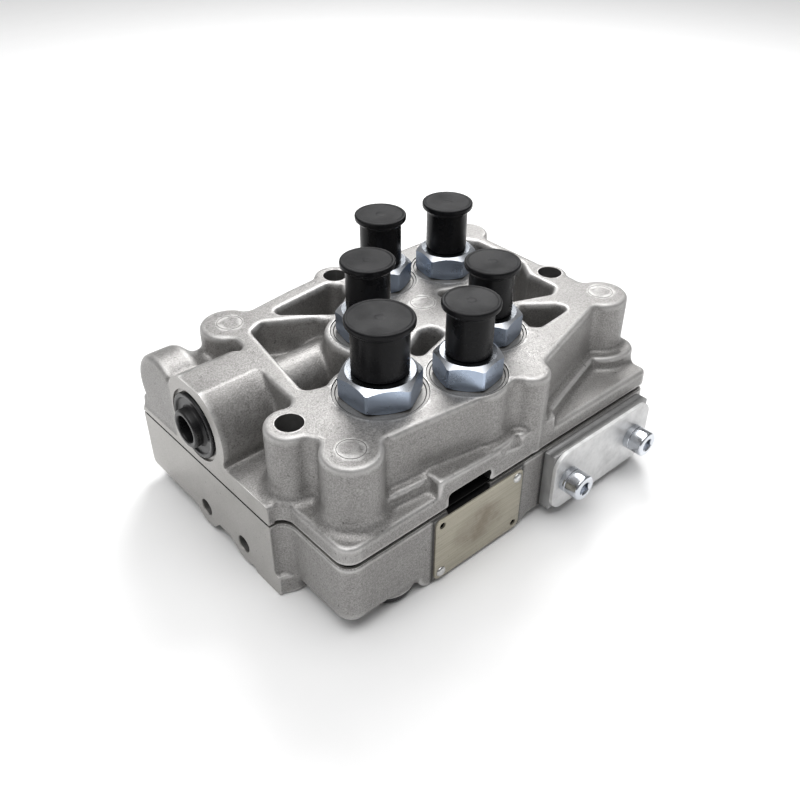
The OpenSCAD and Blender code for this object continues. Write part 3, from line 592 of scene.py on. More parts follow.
def toolMarksGroup():
    # Fine level marks: a noise of (x * along, y * along, z * across); the tone is a slow noise of its own
    tree, given, result = newGroup("toolMarks", {"Along": 60.0, "Across": 2600.0}, ("Height", "Tone"))
    place = objectCoordinates(tree)
    join = tree.nodes.new("ShaderNodeCombineXYZ")
    for k, (value, scale) in enumerate(zip(splitVector(tree, place), ("Along", "Along", "Across"))):
        tree.links.new(mathNode(tree, "MULTIPLY", value, given[scale]), join.inputs[k])
    tree.links.new(noiseNode(tree, join.outputs[0], 1.0, 3.0, 0.6), result["Height"])
    tree.links.new(noiseNode(tree, place, 45.0, 3.0, 0.6), result["Tone"])
    return tree


def outlineShadowGroup():
    # Mask of a thin painted shadow outline: 1 - |distance to a rectangle in x and z| / width, only on the front face
    tree, given, result = newGroup("outlineShadow", {"Middle X": 0.0, "Middle Z": 0.0, "Half X": 0.01, "Half Z": 0.01,
                                                    "Width": 0.001}, ("Mask",))
    x, y, z = splitVector(tree, objectCoordinates(tree))
    away = []
    for value, middle, half in ((x, "Middle X", "Half X"), (z, "Middle Z", "Half Z")):
        offset = mathNode(tree, "ABSOLUTE", mathNode(tree, "SUBTRACT", value, given[middle]))
        away.append(mathNode(tree, "SUBTRACT", offset, given[half]))
    far = mathNode(tree, "ABSOLUTE", mathNode(tree, "MAXIMUM", *away))
    near = mathNode(tree, "SUBTRACT", 1.0, mathNode(tree, "DIVIDE", far, given["Width"]), True)
    front = rangeNode(tree, y, -0.0445, -0.0455)
    tree.links.new(mathNode(tree, "MULTIPLY", near, front, True), result["Mask"])
    return tree


groups = {"grain": grainGroup(), "edges": edgeGroup(), "dust": dustGroup(), "marks": toolMarksGroup(),
          "paintedShadow": outlineShadowGroup()}


def placeGroup(tree, name, **values):
    # A group in a material with values of its own
    node = tree.nodes.new("ShaderNodeGroup")
    node.node_tree = groups[name]
    for label, value in values.items():
        node.inputs[label.replace("_", " ")].default_value = value
    return node.outputs


def newMaterial(name, look):
    # A Principled shader whose plain numbers are set on its own sockets
    material = bpy.data.materials.new(name)
    material.use_nodes = True
    tree = material.node_tree
    shader = tree.nodes["Principled BSDF"].inputs
    shader["Base Color"].default_value = (*look["colour"], 1.0)
    shader["Metallic"].default_value = look.get("metallic", 0.0)
    shader["Roughness"].default_value = look.get("roughness", 0.5)
    shader["Specular IOR Level"].default_value = look.get("specular", 0.5)
    return material, tree, shader


def bumpTo(tree, shader, height, distance, strength=1.0):
    node = tree.nodes.new("ShaderNodeBump")
    for label, value in {"Distance": distance, "Strength": strength, "Height": height}.items():
        feed(tree, node.inputs[label], value)
    tree.links.new(node.outputs[0], shader["Normal"])


def roughnessTo(tree, shader, value, low, high, rough, smoother, rougher):
    # Roughness between rough - smoother and rough + rougher as the value goes from low to high
    tree.links.new(rangeNode(tree, value, low, high, rough - smoother, rough + rougher), shader["Roughness"])


def levelMask(tree, low, high, toHigh=1.0):
    # How level a face is: 0 to toHigh as the normal's height, up or down, goes from low to high
    normal = tree.nodes.new("ShaderNodeNewGeometry").outputs["Normal"]
    return rangeNode(tree, mathNode(tree, "ABSOLUTE", splitVector(tree, normal)[2]), low, high, 0.0, toHigh)


def castMaterial():
    # Grey grain with bright edges that are partly wear and partly painted highlight, painted shade in the hollows, a
    # film of dirt, pits, and painted shadow lines beside the fitted pieces
    look = {"colour": (0.30, 0.292, 0.285), "bright": (0.48, 0.47, 0.46), "dark": (0.155, 0.15, 0.145),
            "rubbed": (0.72, 0.71, 0.70), "pit": (0.06, 0.057, 0.055), "paintedShadow": (0.02, 0.019, 0.018),
            "metallic": 0.62, "roughness": 0.44, "specular": 0.35, "grain": 0.0002,
            "paintedShadows": ((0.0649, 0.0199, 0.0279, 0.0184), (0.1080, 0.0213, 0.0004, 0.0160)), "paintedShadowWidth": 0.0018}
    material, tree, shader = newMaterial("castAluminium", look)
    grain = placeGroup(tree, "grain", Fine=1450.0, Coarse=380.0, Mix=0.22, Pit_Scale=560.0)
    edges = placeGroup(tree, "edges", Start=0.503, Full=0.519, Break=0.3)
    dust = placeGroup(tree, "dust", Film_Scale=26.0, Speck_Scale=950.0)
    colour = mixColours(tree, rangeNode(tree, grain["Height"], 0.34, 0.66), look["dark"], look["bright"])
    colour = mixColours(tree, 0.3, colour, look["colour"])
    # Convex edges are painted light, partly rubbed wear and partly a painted highlight; hollows are painted darker as
    # painted shade
    colour = layers(tree, colour, ((edges["Edges"], 0.75, look["rubbed"]), (edges["Painted Hollow Shade"], 0.6, look["dark"]),
                                   (dust["Film"], 0.25, look["dark"]), (grain["Pits"], 0.5, look["pit"])))
    # Painted shadow: a near-black outline on the casting round the nameplate and at the bracket's left end, where the
    # gap beside each fitted piece lies in shade
    for middleX, middleZ, halfX, halfZ in look["paintedShadows"]:  # round the nameplate, and at the bracket's left end
        paintedShadow = placeGroup(tree, "paintedShadow", Middle_X=middleX, Middle_Z=middleZ, Half_X=halfX, Half_Z=halfZ,
                           Width=look["paintedShadowWidth"])
        colour = layers(tree, colour, ((paintedShadow["Mask"], 0.95, look["paintedShadow"]),))
    tree.links.new(colour, shader["Base Color"])
    roughnessTo(tree, shader, grain["Tone"], 0.3, 0.7, look["roughness"], 0.1, 0.1)
    bumpTo(tree, shader, grain["Height"], look["grain"])
    return material


def machinedMaterial(name, look):
    # Fine level tool marks in the roughness and the bump, with a few pits
    material, tree, shader = newMaterial(name, look)
    marks = placeGroup(tree, "marks", Along=40.0, Across=1800.0)
    grain = placeGroup(tree, "grain", Fine=1500.0, Coarse=90.0, Mix=0.4, Pit_Scale=620.0)
    colour = mixColours(tree, rangeNode(tree, grain["Height"], 0.36, 0.64), look["colour"], look["bright"])
    tree.links.new(layers(tree, colour, ((grain["Pits"], 0.5, look["pit"]),)), shader["Base Color"])
    roughnessTo(tree, shader, marks["Tone"], 0.3, 0.7, look["roughness"], 0.06, 0.08)
    bumpTo(tree, shader, marks["Height"], look["marks"], 0.5)
    return material


def zincMaterial(name, look):
    # With a tint, the sides take the passivation's colour, and level faces are painted dark with the top's colour, a
    # painted shade on the tops
    material, tree, shader = newMaterial(name, look)
    grain = placeGroup(tree, "grain", Fine=1500.0, Coarse=120.0, Mix=0.6, Pit_Scale=500.0)
    dust = placeGroup(tree, "dust", Film_Scale=60.0, Speck_Scale=1400.0)
    colour = mixColours(tree, rangeNode(tree, grain["Tone"], 0.35, 0.65), look["colour"], look["bright"])
    if "tint" in look:
        patches = rangeNode(tree, dust["Film"], 0.0, 1.0, 0.75, 1.0)
        # Level faces are painted dark: painted shade on the adapters' tops
        colour = layers(tree, colour, ((levelMask(tree, 0.5, 0.2), patches, look["tint"]),
                                       (levelMask(tree, 0.94, 0.99), 1.0, look["top"])))
    tree.links.new(layers(tree, colour, ((dust["Film"], 0.3, look["film"]),)), shader["Base Color"])
    roughnessTo(tree, shader, grain["Height"], 0.3, 0.7, look["roughness"], 0.08, 0.12)
    bumpTo(tree, shader, grain["Height"], look["bump"], 0.5)
    return material


def plasticMaterial(name, look):
    # Level faces are scuffed: their roughness grows with the normal's height
    material, tree, shader = newMaterial(name, look)
    grain = placeGroup(tree, "grain", Fine=1600.0, Coarse=200.0, Mix=0.5, Pit_Scale=600.0)
    edges = placeGroup(tree, "edges", Start=0.51, Full=0.6, Break=0.5)
    dust = placeGroup(tree, "dust", Film_Scale=70.0, Speck_Scale=1300.0)
    # The worn colour comes in on the edges, partly wear and partly a painted highlight on the rims, and where the dust
    # film lies
    wear = mathNode(tree, "ADD", mathNode(tree, "MULTIPLY", edges["Edges"], 0.3),
                    mathNode(tree, "MULTIPLY", dust["Film"], 0.25), True)
    colour = mixColours(tree, wear, look["colour"], look["worn"])
    tree.links.new(layers(tree, colour, ((dust["Specks"], 0.08, look["speck"]),)), shader["Base Color"])
    film = rangeNode(tree, dust["Film"], 0.0, 1.0, look["roughness"] - 0.04, look["roughness"] + 0.1)
    scuffs = levelMask(tree, 0.5, 0.95, look["topRoughness"])
    tree.links.new(mathNode(tree, "ADD", film, scuffs), shader["Roughness"])
    bumpTo(tree, shader, grain["Height"], 0.00004, 0.6)
    return material


def nameplateMaterial():
    # Brushed, and worn through to brown round its middle: 1 - distance from there, as a share of its reach
    look = {"colour": (0.35, 0.325, 0.26), "bright": (0.47, 0.44, 0.36), "rubbed": (0.19, 0.155, 0.11),
            "film": (0.2, 0.19, 0.155), "metallic": 0.6, "roughness": 0.38,
            "middle": (0.0655, 0.0200), "reach": (0.019, 0.012)}
    material, tree, shader = newMaterial("nameplateMetal", look)
    marks = placeGroup(tree, "marks", Along=30.0, Across=3000.0)
    dust = placeGroup(tree, "dust", Film_Scale=110.0, Speck_Scale=900.0)
    colour = mixColours(tree, rangeNode(tree, marks["Height"], 0.35, 0.65), look["colour"], look["bright"])
    (middleX, middleZ), (reachX, reachZ) = look["middle"], look["reach"]
    place = tree.nodes.new("ShaderNodeMapping")
    place.inputs["Location"].default_value = (-middleX / reachX, 0.0, -middleZ / reachZ)
    place.inputs["Scale"].default_value = (1 / reachX, 0.0, 1 / reachZ)
    tree.links.new(objectCoordinates(tree), place.inputs["Vector"])
    gradient = tree.nodes.new("ShaderNodeTexGradient")
    gradient.gradient_type = "SPHERICAL"
    tree.links.new(place.outputs[0], gradient.inputs["Vector"])
    rubbed = mathNode(tree, "MULTIPLY", rangeNode(tree, gradient.outputs["Fac"], 0.0, 0.4),
                      rangeNode(tree, dust["Film"], 0.0, 1.0, 0.35, 1.0))
    colour = layers(tree, colour, ((rubbed, 0.85, look["rubbed"]), (dust["Specks"], 0.3, look["film"])))
    tree.links.new(colour, shader["Base Color"])
    roughnessTo(tree, shader, marks["Tone"], 0.3, 0.7, look["roughness"], 0.02, 0.14)
    bumpTo(tree, shader, marks["Height"], 0.00002, 0.4)
    return material


def darkMaterial(name, look):
    # Slow tone, lighter edges and a fine grain
    material, tree, shader = newMaterial(name, look)
    grain = placeGroup(tree, "grain", Fine=1100.0, Coarse=160.0, Mix=0.5, Pit_Scale=450.0)
    edges = placeGroup(tree, "edges", Start=0.51, Full=0.6, Break=0.4)
    colour = mixColours(tree, rangeNode(tree, grain["Tone"], 0.35, 0.65), look["colour"], look["light"])
    tree.links.new(layers(tree, colour, ((edges["Edges"], 0.5, look["edge"]),)), shader["Base Color"])
    roughnessTo(tree, shader, grain["Height"], 0.3, 0.7, look["roughness"], 0.08, 0.1)
    bumpTo(tree, shader, grain["Height"], look["bump"], 0.6)
    return material


materials = {
    "cast": castMaterial(),
    "machined": machinedMaterial("machinedAluminium", {
        "colour": (0.36, 0.35, 0.335), "bright": (0.46, 0.45, 0.435), "pit": (0.1, 0.095, 0.09), "metallic": 0.7,
        "roughness": 0.42, "marks": 0.00003}),
    "spotFace": machinedMaterial("spotFace", {
        "colour": (0.23, 0.225, 0.22), "bright": (0.31, 0.305, 0.295), "pit": (0.1, 0.095, 0.09), "metallic": 0.7,
        "roughness": 0.5, "marks": 0.00002}),
    # Painted shade: near-black for the inside of the front window, the spot-face grooves and the rivet holes
    "paintedCavityShade": darkMaterial("windowShade", {
        "colour": (0.012, 0.012, 0.012), "light": (0.02, 0.02, 0.02), "edge": (0.03, 0.03, 0.03), "roughness": 0.8,
        "specular": 0.1, "bump": 0.00006}),
    "zinc": zincMaterial("zincPlate", {
        "colour": (0.58, 0.61, 0.66), "bright": (0.74, 0.76, 0.8), "tint": (0.42, 0.51, 0.66),
        "top": (0.13, 0.137, 0.147), "film": (0.40, 0.43, 0.48), "metallic": 1.0, "roughness": 0.3, "bump": 0.00002}),
    "bolt": zincMaterial("boltZinc", {
        "colour": (0.58, 0.61, 0.66), "bright": (0.72, 0.74, 0.78), "film": (0.42, 0.44, 0.47), "metallic": 1.0,
        "roughness": 0.16, "bump": 0.00001}),
    "plate": zincMaterial("platedSheet", {
        "colour": (0.60, 0.60, 0.60), "bright": (0.84, 0.84, 0.84), "film": (0.56, 0.56, 0.56), "metallic": 0.35,
        "roughness": 0.4, "bump": 0.00003}),
    "steel": zincMaterial("groundSteel", {
        "colour": (0.55, 0.55, 0.55), "bright": (0.68, 0.68, 0.67), "film": (0.44, 0.43, 0.42), "metallic": 1.0,
        "roughness": 0.3, "bump": 0.00002}),
    # Painted shade: the walls of bolt holes and channels are coloured dark for the shade deep inside them
    "bore": darkMaterial("paintedBoreShade", {
        "colour": (0.10, 0.098, 0.095), "light": (0.16, 0.157, 0.152), "edge": (0.2, 0.2, 0.2), "metallic": 0.5,
        "roughness": 0.45, "bump": 0.00003}),
    "plastic": plasticMaterial("blackPlastic", {
        "colour": (0.007, 0.007, 0.008), "worn": (0.016, 0.0155, 0.016), "speck": (0.1, 0.1, 0.1), "roughness": 0.28,
        "topRoughness": 0.22, "specular": 0.13}),
    "plugPlastic": plasticMaterial("plugPlastic", {
        "colour": (0.010, 0.010, 0.011), "worn": (0.05, 0.048, 0.046), "speck": (0.1, 0.1, 0.1), "roughness": 0.3,
        "topRoughness": 0.1, "specular": 0.35}),
    "nameplate": nameplateMaterial(),
    "block": darkMaterial("darkBlock", {
        "colour": (0.20, 0.20, 0.20), "light": (0.30, 0.30, 0.30), "edge": (0.5, 0.5, 0.5), "metallic": 0.5,
        "roughness": 0.42, "bump": 0.00006}),
    "gasket": darkMaterial("gasketSheet", {
        "colour": (0.006, 0.006, 0.006), "light": (0.012, 0.012, 0.012), "edge": (0.02, 0.02, 0.02), "roughness": 0.85,
        "specular": 0.1, "bump": 0.00004}),
    "rubber": darkMaterial("sealRubber", {
        "colour": (0.012, 0.012, 0.012), "light": (0.025, 0.025, 0.025), "edge": (0.04, 0.04, 0.04), "roughness": 0.6,
        "bump": 0.00002}),
}
print("materials made:", len(materials))

# Finish of each CAD node by its material slot
slotLooks = {"cast_aluminium": "cast", "zinc_steel": "zinc", "bright_steel": "steel", "spring_steel": "steel",
             "block_steel": "block", "nameplate_metal": "nameplate", "black_plastic": "plastic",
             "seal_rubber": "rubber", "gasket_sheet": "gasket"}
for part in frame["record"]["subparts"]:
    # Painted shade: the separator plate takes the near-black gasket colour, so that the joint reads as a seam in shade
    look = "gasket" if part["node"] == "separator_plate" else slotLooks[part["material_slot"]]
    node = frame["nodes"][part["node"]]
    node.data.materials.clear()
    node.data.materials.append(materials[look])

# Upper casting: cast all over, machined on the left face, the joint, the spot faces and in its bores
upper = castSkin("upperCasting", "upper_housing", upperFills(), (0.0, None, 0.6), (None, None, None), 0.6,
                 castLook["upperDraw"], castLook["humpRadius"])
cutPiece(upper, [slabArrays((-30, -30, -30), (0, 200, 70))])
cutPiece(upper, [slabArrays((-40, -40, -40), (260, 210, 0.6))])
for shells in upperCuts():
    cutPiece(upper, shells)


def upperMachined(centre):
    machined = (centre[:, 0] < 0.02) | (centre[:, 2] < 0.62)
    for i, place in enumerate(portPlaces):
        machined |= (fromAxis(centre, "z", place) < spotRadius(i) + 0.05) & (centre[:, 2] < 43.2)
    for place in holePlaces:
        machined |= fromAxis(centre, "z", place) < 6.1
    away = fromAxis(centre, "x", (sidePort["y"], sidePort["z"]))
    machined |= (away < sidePort["spot"] + 0.05) & (centre[:, 0] < 1.3)
    return machined | ((away < sidePort["thread"] + 0.65) & (centre[:, 0] < 20.1))


finishCasting(upper, "upper_housing", upperMachined)

lower = castSkin("lowerCasting", "lower_housing", lowerFills(), (0.0, None, None), (None, None, -0.6), -0.6,
                 castLook["lowerDraw"])
cutPiece(lower, [slabArrays((-30, -30, -70), (0, 200, 30))])
cutPiece(lower, [slabArrays((-40, -40, -0.6), (260, 210, 40))])
for shells in lowerCuts():
    cutPiece(lower, shells)


def lowerMachined(centre):
    machined = (centre[:, 0] < 0.02) | (centre[:, 2] > -0.62) | (centre[:, 2] < -39.6)
    for places, radius in ((holePlaces, 6.1), (lowPorts, 14.3), (screwPlaces, 5.5)):
        for place in places:
            machined |= fromAxis(centre, "z", place) < radius
    for place in channelPlaces:
        machined |= (fromAxis(centre, "x", place) < 4.9) & (centre[:, 0] < 50)
    return machined


finishCasting(lower, "lower_housing", lowerMachined)
print("castings made")

# Fitted pieces

def dress(piece, body, node, material):
    piece.data.materials.clear()
    piece.data.materials.append(materials[material])
    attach(piece, body)
    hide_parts(node)


capLook = {"base": 54.9, "height": 24.6, "wall": 1.8, "disc": 2.4, "thick": 3.2, "roof": 2.0, "gap": 0.08,
           "dish": 0.25, "gateRadius": 1.7, "segments": 144}


def capPiece(i):
    # Roof, open rim, stem, disc and dished top in radius and height, turned about the port's axis
    top, inner = capLook["height"], portSizes["thread"][i] / 2 + capLook["gap"]
    stem, roof, under = inner + capLook["wall"], top - capLook["roof"], top - capLook["thick"]
    disc, dish = stem + capLook["disc"], top - capLook["dish"]
    profile = [[0, roof], [inner - 0.6, roof], [inner, roof - 0.6], [inner, 0], [stem - 0.5, 0], [stem, 0.9],
               [stem, under - 1.5], [stem + 0.5, under - 0.5], [disc - 0.6, under + 0.2], [disc, under + 0.9],
               [disc, top - 0.5], [disc - 0.45, top], [disc - 1.3, top], [disc - 1.8, dish],
               [capLook["gateRadius"] + 0.4, dish], [capLook["gateRadius"], dish + 0.12], [0, dish + 0.12]]
    shell = turnedArrays(softened(profile, 0.5), (*portPlaces[i], capLook["base"]), segments=capLook["segments"])
    piece = meshFromArrays("cap%d" % (i + 1), toScene(shell[0]), *shell[1:], sharpAngle=60)
    dress(piece, "port_cap_%d_body" % (i + 1), "port_cap_%d" % (i + 1), "plastic")


adapterLook = {"pitch": 1.5, "deep": 0.85, "corner": 0.3, "chamfer": 1.1, "slope": 0.66, "lowChamfer": 0.5,
               "lowSlope": 0.5, "segments": 180, "seatWide": 2.4, "seatDeep": 4.0,
               "hex": -1.0, "hexTop": -2.0, "hexFoot": -3.0, "thread": -4.0}  # these four mark what a row follows


def adapterPiece(i):
    # Hexagon: flat / cos(angle from the nearest flat), cut off at the corners; its top edge lies on a cone,
    # height = top - (radius - start) * slope, and its foot on a flatter one; thread: r - deep * a trapezoid
    # wave of height / pitch - angle / 2 pi; elsewhere the outline's own radius
    flat, r = portSizes["flats"][i] / 2, portSizes["thread"][i] / 2
    turn, bore = math.radians(portSizes["turn"][i]), portSizes["thread"][i] / 4
    high, stub, stud = portSizes["hexHeight"], portSizes["stub"], portSizes["stud"]
    look = adapterLook
    start, foot = flat - look["chamfer"], flat - look["lowChamfer"]

    def shaped(radius, height, angle):
        side = (angle - turn) % (math.pi / 3) - math.pi / 6
        hexagon = np.minimum(flat / np.cos(side), flat / math.cos(math.pi / 6) - look["corner"])
        wave = np.abs((height / look["pitch"] - angle / (2 * math.pi)) % 1 - 0.5) * 2.8 - 0.4
        ridge = r - look["deep"] * np.clip(wave, 0, 1)
        onHex = (radius == look["hex"]) | (radius == look["hexTop"]) | (radius == look["hexFoot"])
        newHeight = np.where(radius == look["hexTop"], high - (hexagon - start) * look["slope"], np.where(
            radius == look["hexFoot"], (hexagon - foot) * look["lowSlope"], height))
        newRadius = np.where(onHex, hexagon, np.where(radius == look["thread"], ridge, radius))
        return newRadius, newHeight

    threadRows = np.arange(high + 1.6, high + stub - 1.4, look["pitch"] / 8)
    profile = [[bore, -stud], [r - 1.2, -stud], [r, -stud + 1.2], [r, -2.4], [r - 0.8, -1.8], [r - 0.8, 0.0],
               [foot, 0.0], [look["hexFoot"], 0.5], *[[look["hex"], z] for z in np.linspace(2.5, high - 3.5, 3)],
               [look["hexTop"], high - 2], [start, high], *turnedRings(r + 0.4, start - 0.3, high, 0.02)[::-1],
               [r - 0.9, high - 0.02], [r - 0.9, high + 1.2], *[[look["thread"], z] for z in threadRows],
               [r - 1.1, high + stub - 0.3], [r - 1.4, high + stub], [bore + look["seatWide"], high + stub],
               [bore, high + stub - look["seatDeep"]]]
    shell = loopArrays(profile, (*portPlaces[i], portSizes["deck"] - portSizes["spotDepth"]),
                       segments=look["segments"], shape=shaped, turn=turn)
    piece = meshFromArrays("adapter%d" % (i + 1), toScene(shell[0]), *shell[1:], sharpAngle=22)
    dress(piece, "housing", "port_adapter_%d" % (i + 1), "zinc")


for i in range(6):
    capPiece(i)
    adapterPiece(i)
print("caps and adapters made")

plugLook = {"rim": 15.8, "hub": 9.2, "hole": 6.4, "out": 4.7, "floor": 9.0, "length": 12.5, "thread": 13.12,
            "seat": 1.2}


def sidePlugPiece():
    # Hub floor, hub, dished face, rim, barrel and end in radius and depth, turned about the side port's axis
    k = plugLook
    profile = [[0, k["floor"]], [k["hole"] - 0.8, k["floor"]], [k["hole"], k["floor"] - 0.8],
               [k["hole"], 0.6 - k["out"]], [k["hole"] + 0.6, -k["out"]], [k["hub"] - 0.7, -k["out"]],
               [k["hub"], 0.7 - k["out"]], [k["hub"], -0.8], [k["hub"] + 0.9, 0.2], [k["rim"] - 2.6, 0.2],
               [k["rim"] - 1.9, -0.8], [k["rim"] - 0.5, -0.9], [k["rim"], -0.4], [k["rim"], k["seat"]],
               [k["thread"], k["seat"]], [k["thread"], 3.0], [k["thread"] - 0.3, 3.3], [k["thread"], 3.6],
               [k["thread"] - 0.4, k["length"] - 1.5], [k["thread"] - 2.4, k["length"]], [0, k["length"]]]
    shell = turnedArrays(softened(profile, 0.4), (0, sidePort["y"], sidePort["z"]), axis="x", segments=144)
    piece = meshFromArrays("sidePlug", toScene(shell[0]), *shell[1:], sharpAngle=60)
    dress(piece, "side_port_plug_body", "side_port_plug", "plugPlastic")


lowPlugLook = {"thread": 10.42, "rim": 13.6, "thick": 3.2, "length": 10.5}


def lowPlugPiece(i):
    # Dished flange, barrel with one groove and a chamfered end, turned about the port's axis
    k = lowPlugLook
    t = k["thick"]
    profile = [[0, 0.8 - t], [6.2, 0.8 - t], [7.2, -t], [k["rim"] - 0.7, -t], [k["rim"], 0.7 - t], [k["rim"], -0.3],
               [k["rim"] - 0.3, 0], [k["thread"], 0], [k["thread"], 2], [k["thread"] - 0.3, 2.4], [k["thread"], 2.8],
               [k["thread"] - 0.4, k["length"] - 1.5], [k["thread"] - 1.6, k["length"]], [0, k["length"]]]
    shell = turnedArrays(softened(profile, 0.4), (*lowPorts[i], boreSizes["portFace"]))
    piece = meshFromArrays("lowPlug%d" % (i + 1), toScene(shell[0]), *shell[1:], sharpAngle=60)
    dress(piece, "lower_plug_%d_body" % (i + 1), "lower_plug_%d" % (i + 1), "plugPlastic")


sidePlugPiece()
for i in range(4):
    lowPlugPiece(i)

signLook = {"low": (55.5, -38.0), "high": (110.0, -2.4), "corner": 3.0, "thick": 0.8, "lip": 0.15, "hole": 1.7}


def signPiece():
    # Rounded rectangle with a small lip, and a hole in each corner
    k = signLook
    outline, normals = roundedOutline(k["low"], k["high"], k["corner"])
    levels = [(0, 0.03, 0), (0, 0.03, 1), (0, k["thick"] - k["lip"], 1), (0.05, k["thick"] - 0.04, 1),
              (0.16, k["thick"], 1), (2.5, k["thick"], 1), (0.16, k["thick"], 0)]
    shell = plateArrays(outline, normals, levels, 0.0)
    piece = meshFromArrays("sign", toScene(shell[0]), *shell[1:], sharpAngle=30)
    hole = [[0, -3], [k["hole"], -3], [k["hole"], 1], [0, 1]]
    cutPiece(piece, [turnedArrays(hole, (x, 0, z), axis="y", segments=48) for x, z in signCorners])
    shadeByAngle(piece.data, 30)
    dress(piece, "housing", "nameplate", "nameplate")


rivetLook = {"shank": 1.5, "head": 2.6, "seat": -0.8, "high": 1.1, "length": 4.0}


def rivetPiece():
    # Low dome on a short shank, turned about each rivet's axis
    k = rivetLook
    top = k["seat"] - k["high"]
    profile = [[0, top], [0.9, top + 0.03], [1.7, top + 0.2], [2.3, top + 0.5], [k["head"], k["seat"] - 0.1],
               [k["head"], k["seat"]], [k["shank"], k["seat"]], [k["shank"], k["length"]], [0, k["length"]]]
    shell = joined([turnedArrays(profile, (x, 0, z), axis="y", segments=48) for x, z in rivetPlaces])
    piece = meshFromArrays("signRivets", toScene(shell[0]), *shell[1:], sharpAngle=50)
    dress(piece, "housing", "nameplate_rivets", "steel")


bracketLook = {"left": 125.3, "right": 197.3, "low": -35.0, "high": -2.0, "block": 6.0, "plate": 2.0, "corner": 8.0,
               "inset": 0.5, "lip": 0.35, "hole": 4.3, "groove": 2.6, "grooveWide": 0.25, "grooveDeep": 0.35}


def bracketPieces():
    # Block: rectangle with a small lip and one long groove along its top; plate: the same with round corners
    k = bracketLook
    hole = [[0, -20], [k["hole"], -20], [k["hole"], 2], [0, 2]]
    holes = [turnedArrays(hole, (x, 0, bracketPlaces["z"]), axis="y", segments=64) for x in bracketPlaces["x"]]
    lip, inset, t = k["lip"], k["inset"], k["block"]
    outline, normals = roundedOutline((k["left"] + inset, k["low"] + inset), (k["right"] - inset, k["high"] - inset),
                                      0.4, 3)
    levels = [(0, 0.02, 0), (0, 0.02, 1), (0, t - lip, 1), (0.1, t - 0.1, 1), (lip, t, 1), (lip, t, 0)]
    block = plateArrays(outline, normals, levels, 0.0)
    piece = meshFromArrays("bracketBlock", toScene(block[0]), *block[1:], sharpAngle=30)
    top = k["high"] - inset
    cutPiece(piece, holes)
    cutPiece(piece, [slabArrays((k["left"] - 2, -k["groove"] - k["grooveWide"], top - k["grooveDeep"]),
                                (k["right"] + 2, -k["groove"], top + 2))])
    dress(piece, "housing", "bracket_block", "block")
    outline, normals = roundedOutline((k["left"], k["low"]), (k["right"], k["high"]), k["corner"], 14)
    t = k["plate"]
    levels = [(0.1, 0, 0), (0.1, 0, 1), (0, 0.1, 1), (0, t - lip, 1), (0.1, t - 0.1, 1), (lip, t, 1), (lip + 2, t, 1),
              (lip, t, 0)]
    plate = plateArrays(outline, normals, levels, -k["block"])
    piece = meshFromArrays("bracketPlate", toScene(plate[0]), *plate[1:], sharpAngle=50)
    cutPiece(piece, holes)
    shadeByAngle(piece.data, 30)
    dress(piece, "housing", "bracket_plate", "plate")


# Seat and end lie along the screw's axis, and socket is the radius of the six-sided hole
bracketScrewLook = {"head": 6.5, "high": 7.4, "shank": 4.0, "seat": -11.0, "end": 16.0, "socket": 3.44}
housingScrewLook = {"head": 4.98, "high": 6.0, "shank": 3.0, "seat": -25.6, "end": 8.2, "socket": 2.58}


def screwShell(foot, axis, k):
    # Crowned head with a rounded edge, then the shank, turned about the screw's axis
    out = k["seat"] - k["high"]
    profile = [[0, out], [k["head"] - 1.1, out], [k["head"] - 0.35, out + 0.25], [k["head"], out + 0.9],
               [k["head"], k["seat"] - 0.25], [k["head"] - 0.25, k["seat"]], [k["shank"], k["seat"]],
               [k["shank"], k["end"] - 1], [k["shank"] - 1, k["end"]], [0, k["end"]]]
    return turnedArrays(softened(profile, 0.3), foot, axis=axis)


def socketShells(foot, axis, k):
    # A six-sided prism and a cone at its mouth
    out, across = k["seat"] - k["high"], k["socket"]
    deep, mouth = out + k["high"] * 0.5, across + 0.25
    prism = turnedArrays([[0, out - 1], [across, out - 1], [across, deep], [0, deep + across * 0.35]], foot, axis=axis,
                         segments=6)
    cone = turnedArrays([[0, out - 0.5], [mouth + 0.5, out - 0.5], [mouth - 0.6, out + 0.6], [0, out + 0.6]], foot,
                        axis=axis, segments=64)
    return prism, cone


def screwsPiece(name, node, feet, axis, look):
    # Equal screws in one piece, their sockets cut first and the mouths of the sockets after them
    shells = joined([screwShell(foot, axis, look) for foot in feet])
    piece = meshFromArrays(name, toScene(shells[0]), *shells[1:], sharpAngle=45)
    for cutters in zip(*[socketShells(foot, axis, look) for foot in feet]):
        cutPiece(piece, cutters)
    shadeByAngle(piece.data, 40)
    dress(piece, "housing", node, "bolt")


collarLook = {"hole": 4.2, "radius": 6.5, "front": -11.0, "back": -8.0, "chamferWide": 0.2, "chamferDeep": 0.25}


def collarPiece():
    # A ring with four small chamfers round each bracket screw
    k = collarLook
    edge, wide, deep = k["radius"], k["chamferWide"], k["chamferDeep"]
    profile = [[k["hole"], k["front"]], [edge - wide, k["front"]], [edge, k["front"] + deep],
               [edge, k["back"] - deep], [edge - wide, k["back"]], [k["hole"], k["back"]]]
    rings = joined([loopArrays(profile, (x, 0, bracketPlaces["z"]), axis="y") for x in bracketPlaces["x"]])
    piece = meshFromArrays("screwCollars", toScene(rings[0]), *rings[1:], sharpAngle=30)
    dress(piece, "housing", "screw_collars", "bolt")


springLook = {"start": 108.9, "run": 32.2, "coil": 6.65, "wire": 0.8, "turns": 8.0, "closedPitch": 2.1,
              "perTurn": 40, "sides": 12, "fixedEnd": 142.0, "length": 34.0, "travel": 8.0}


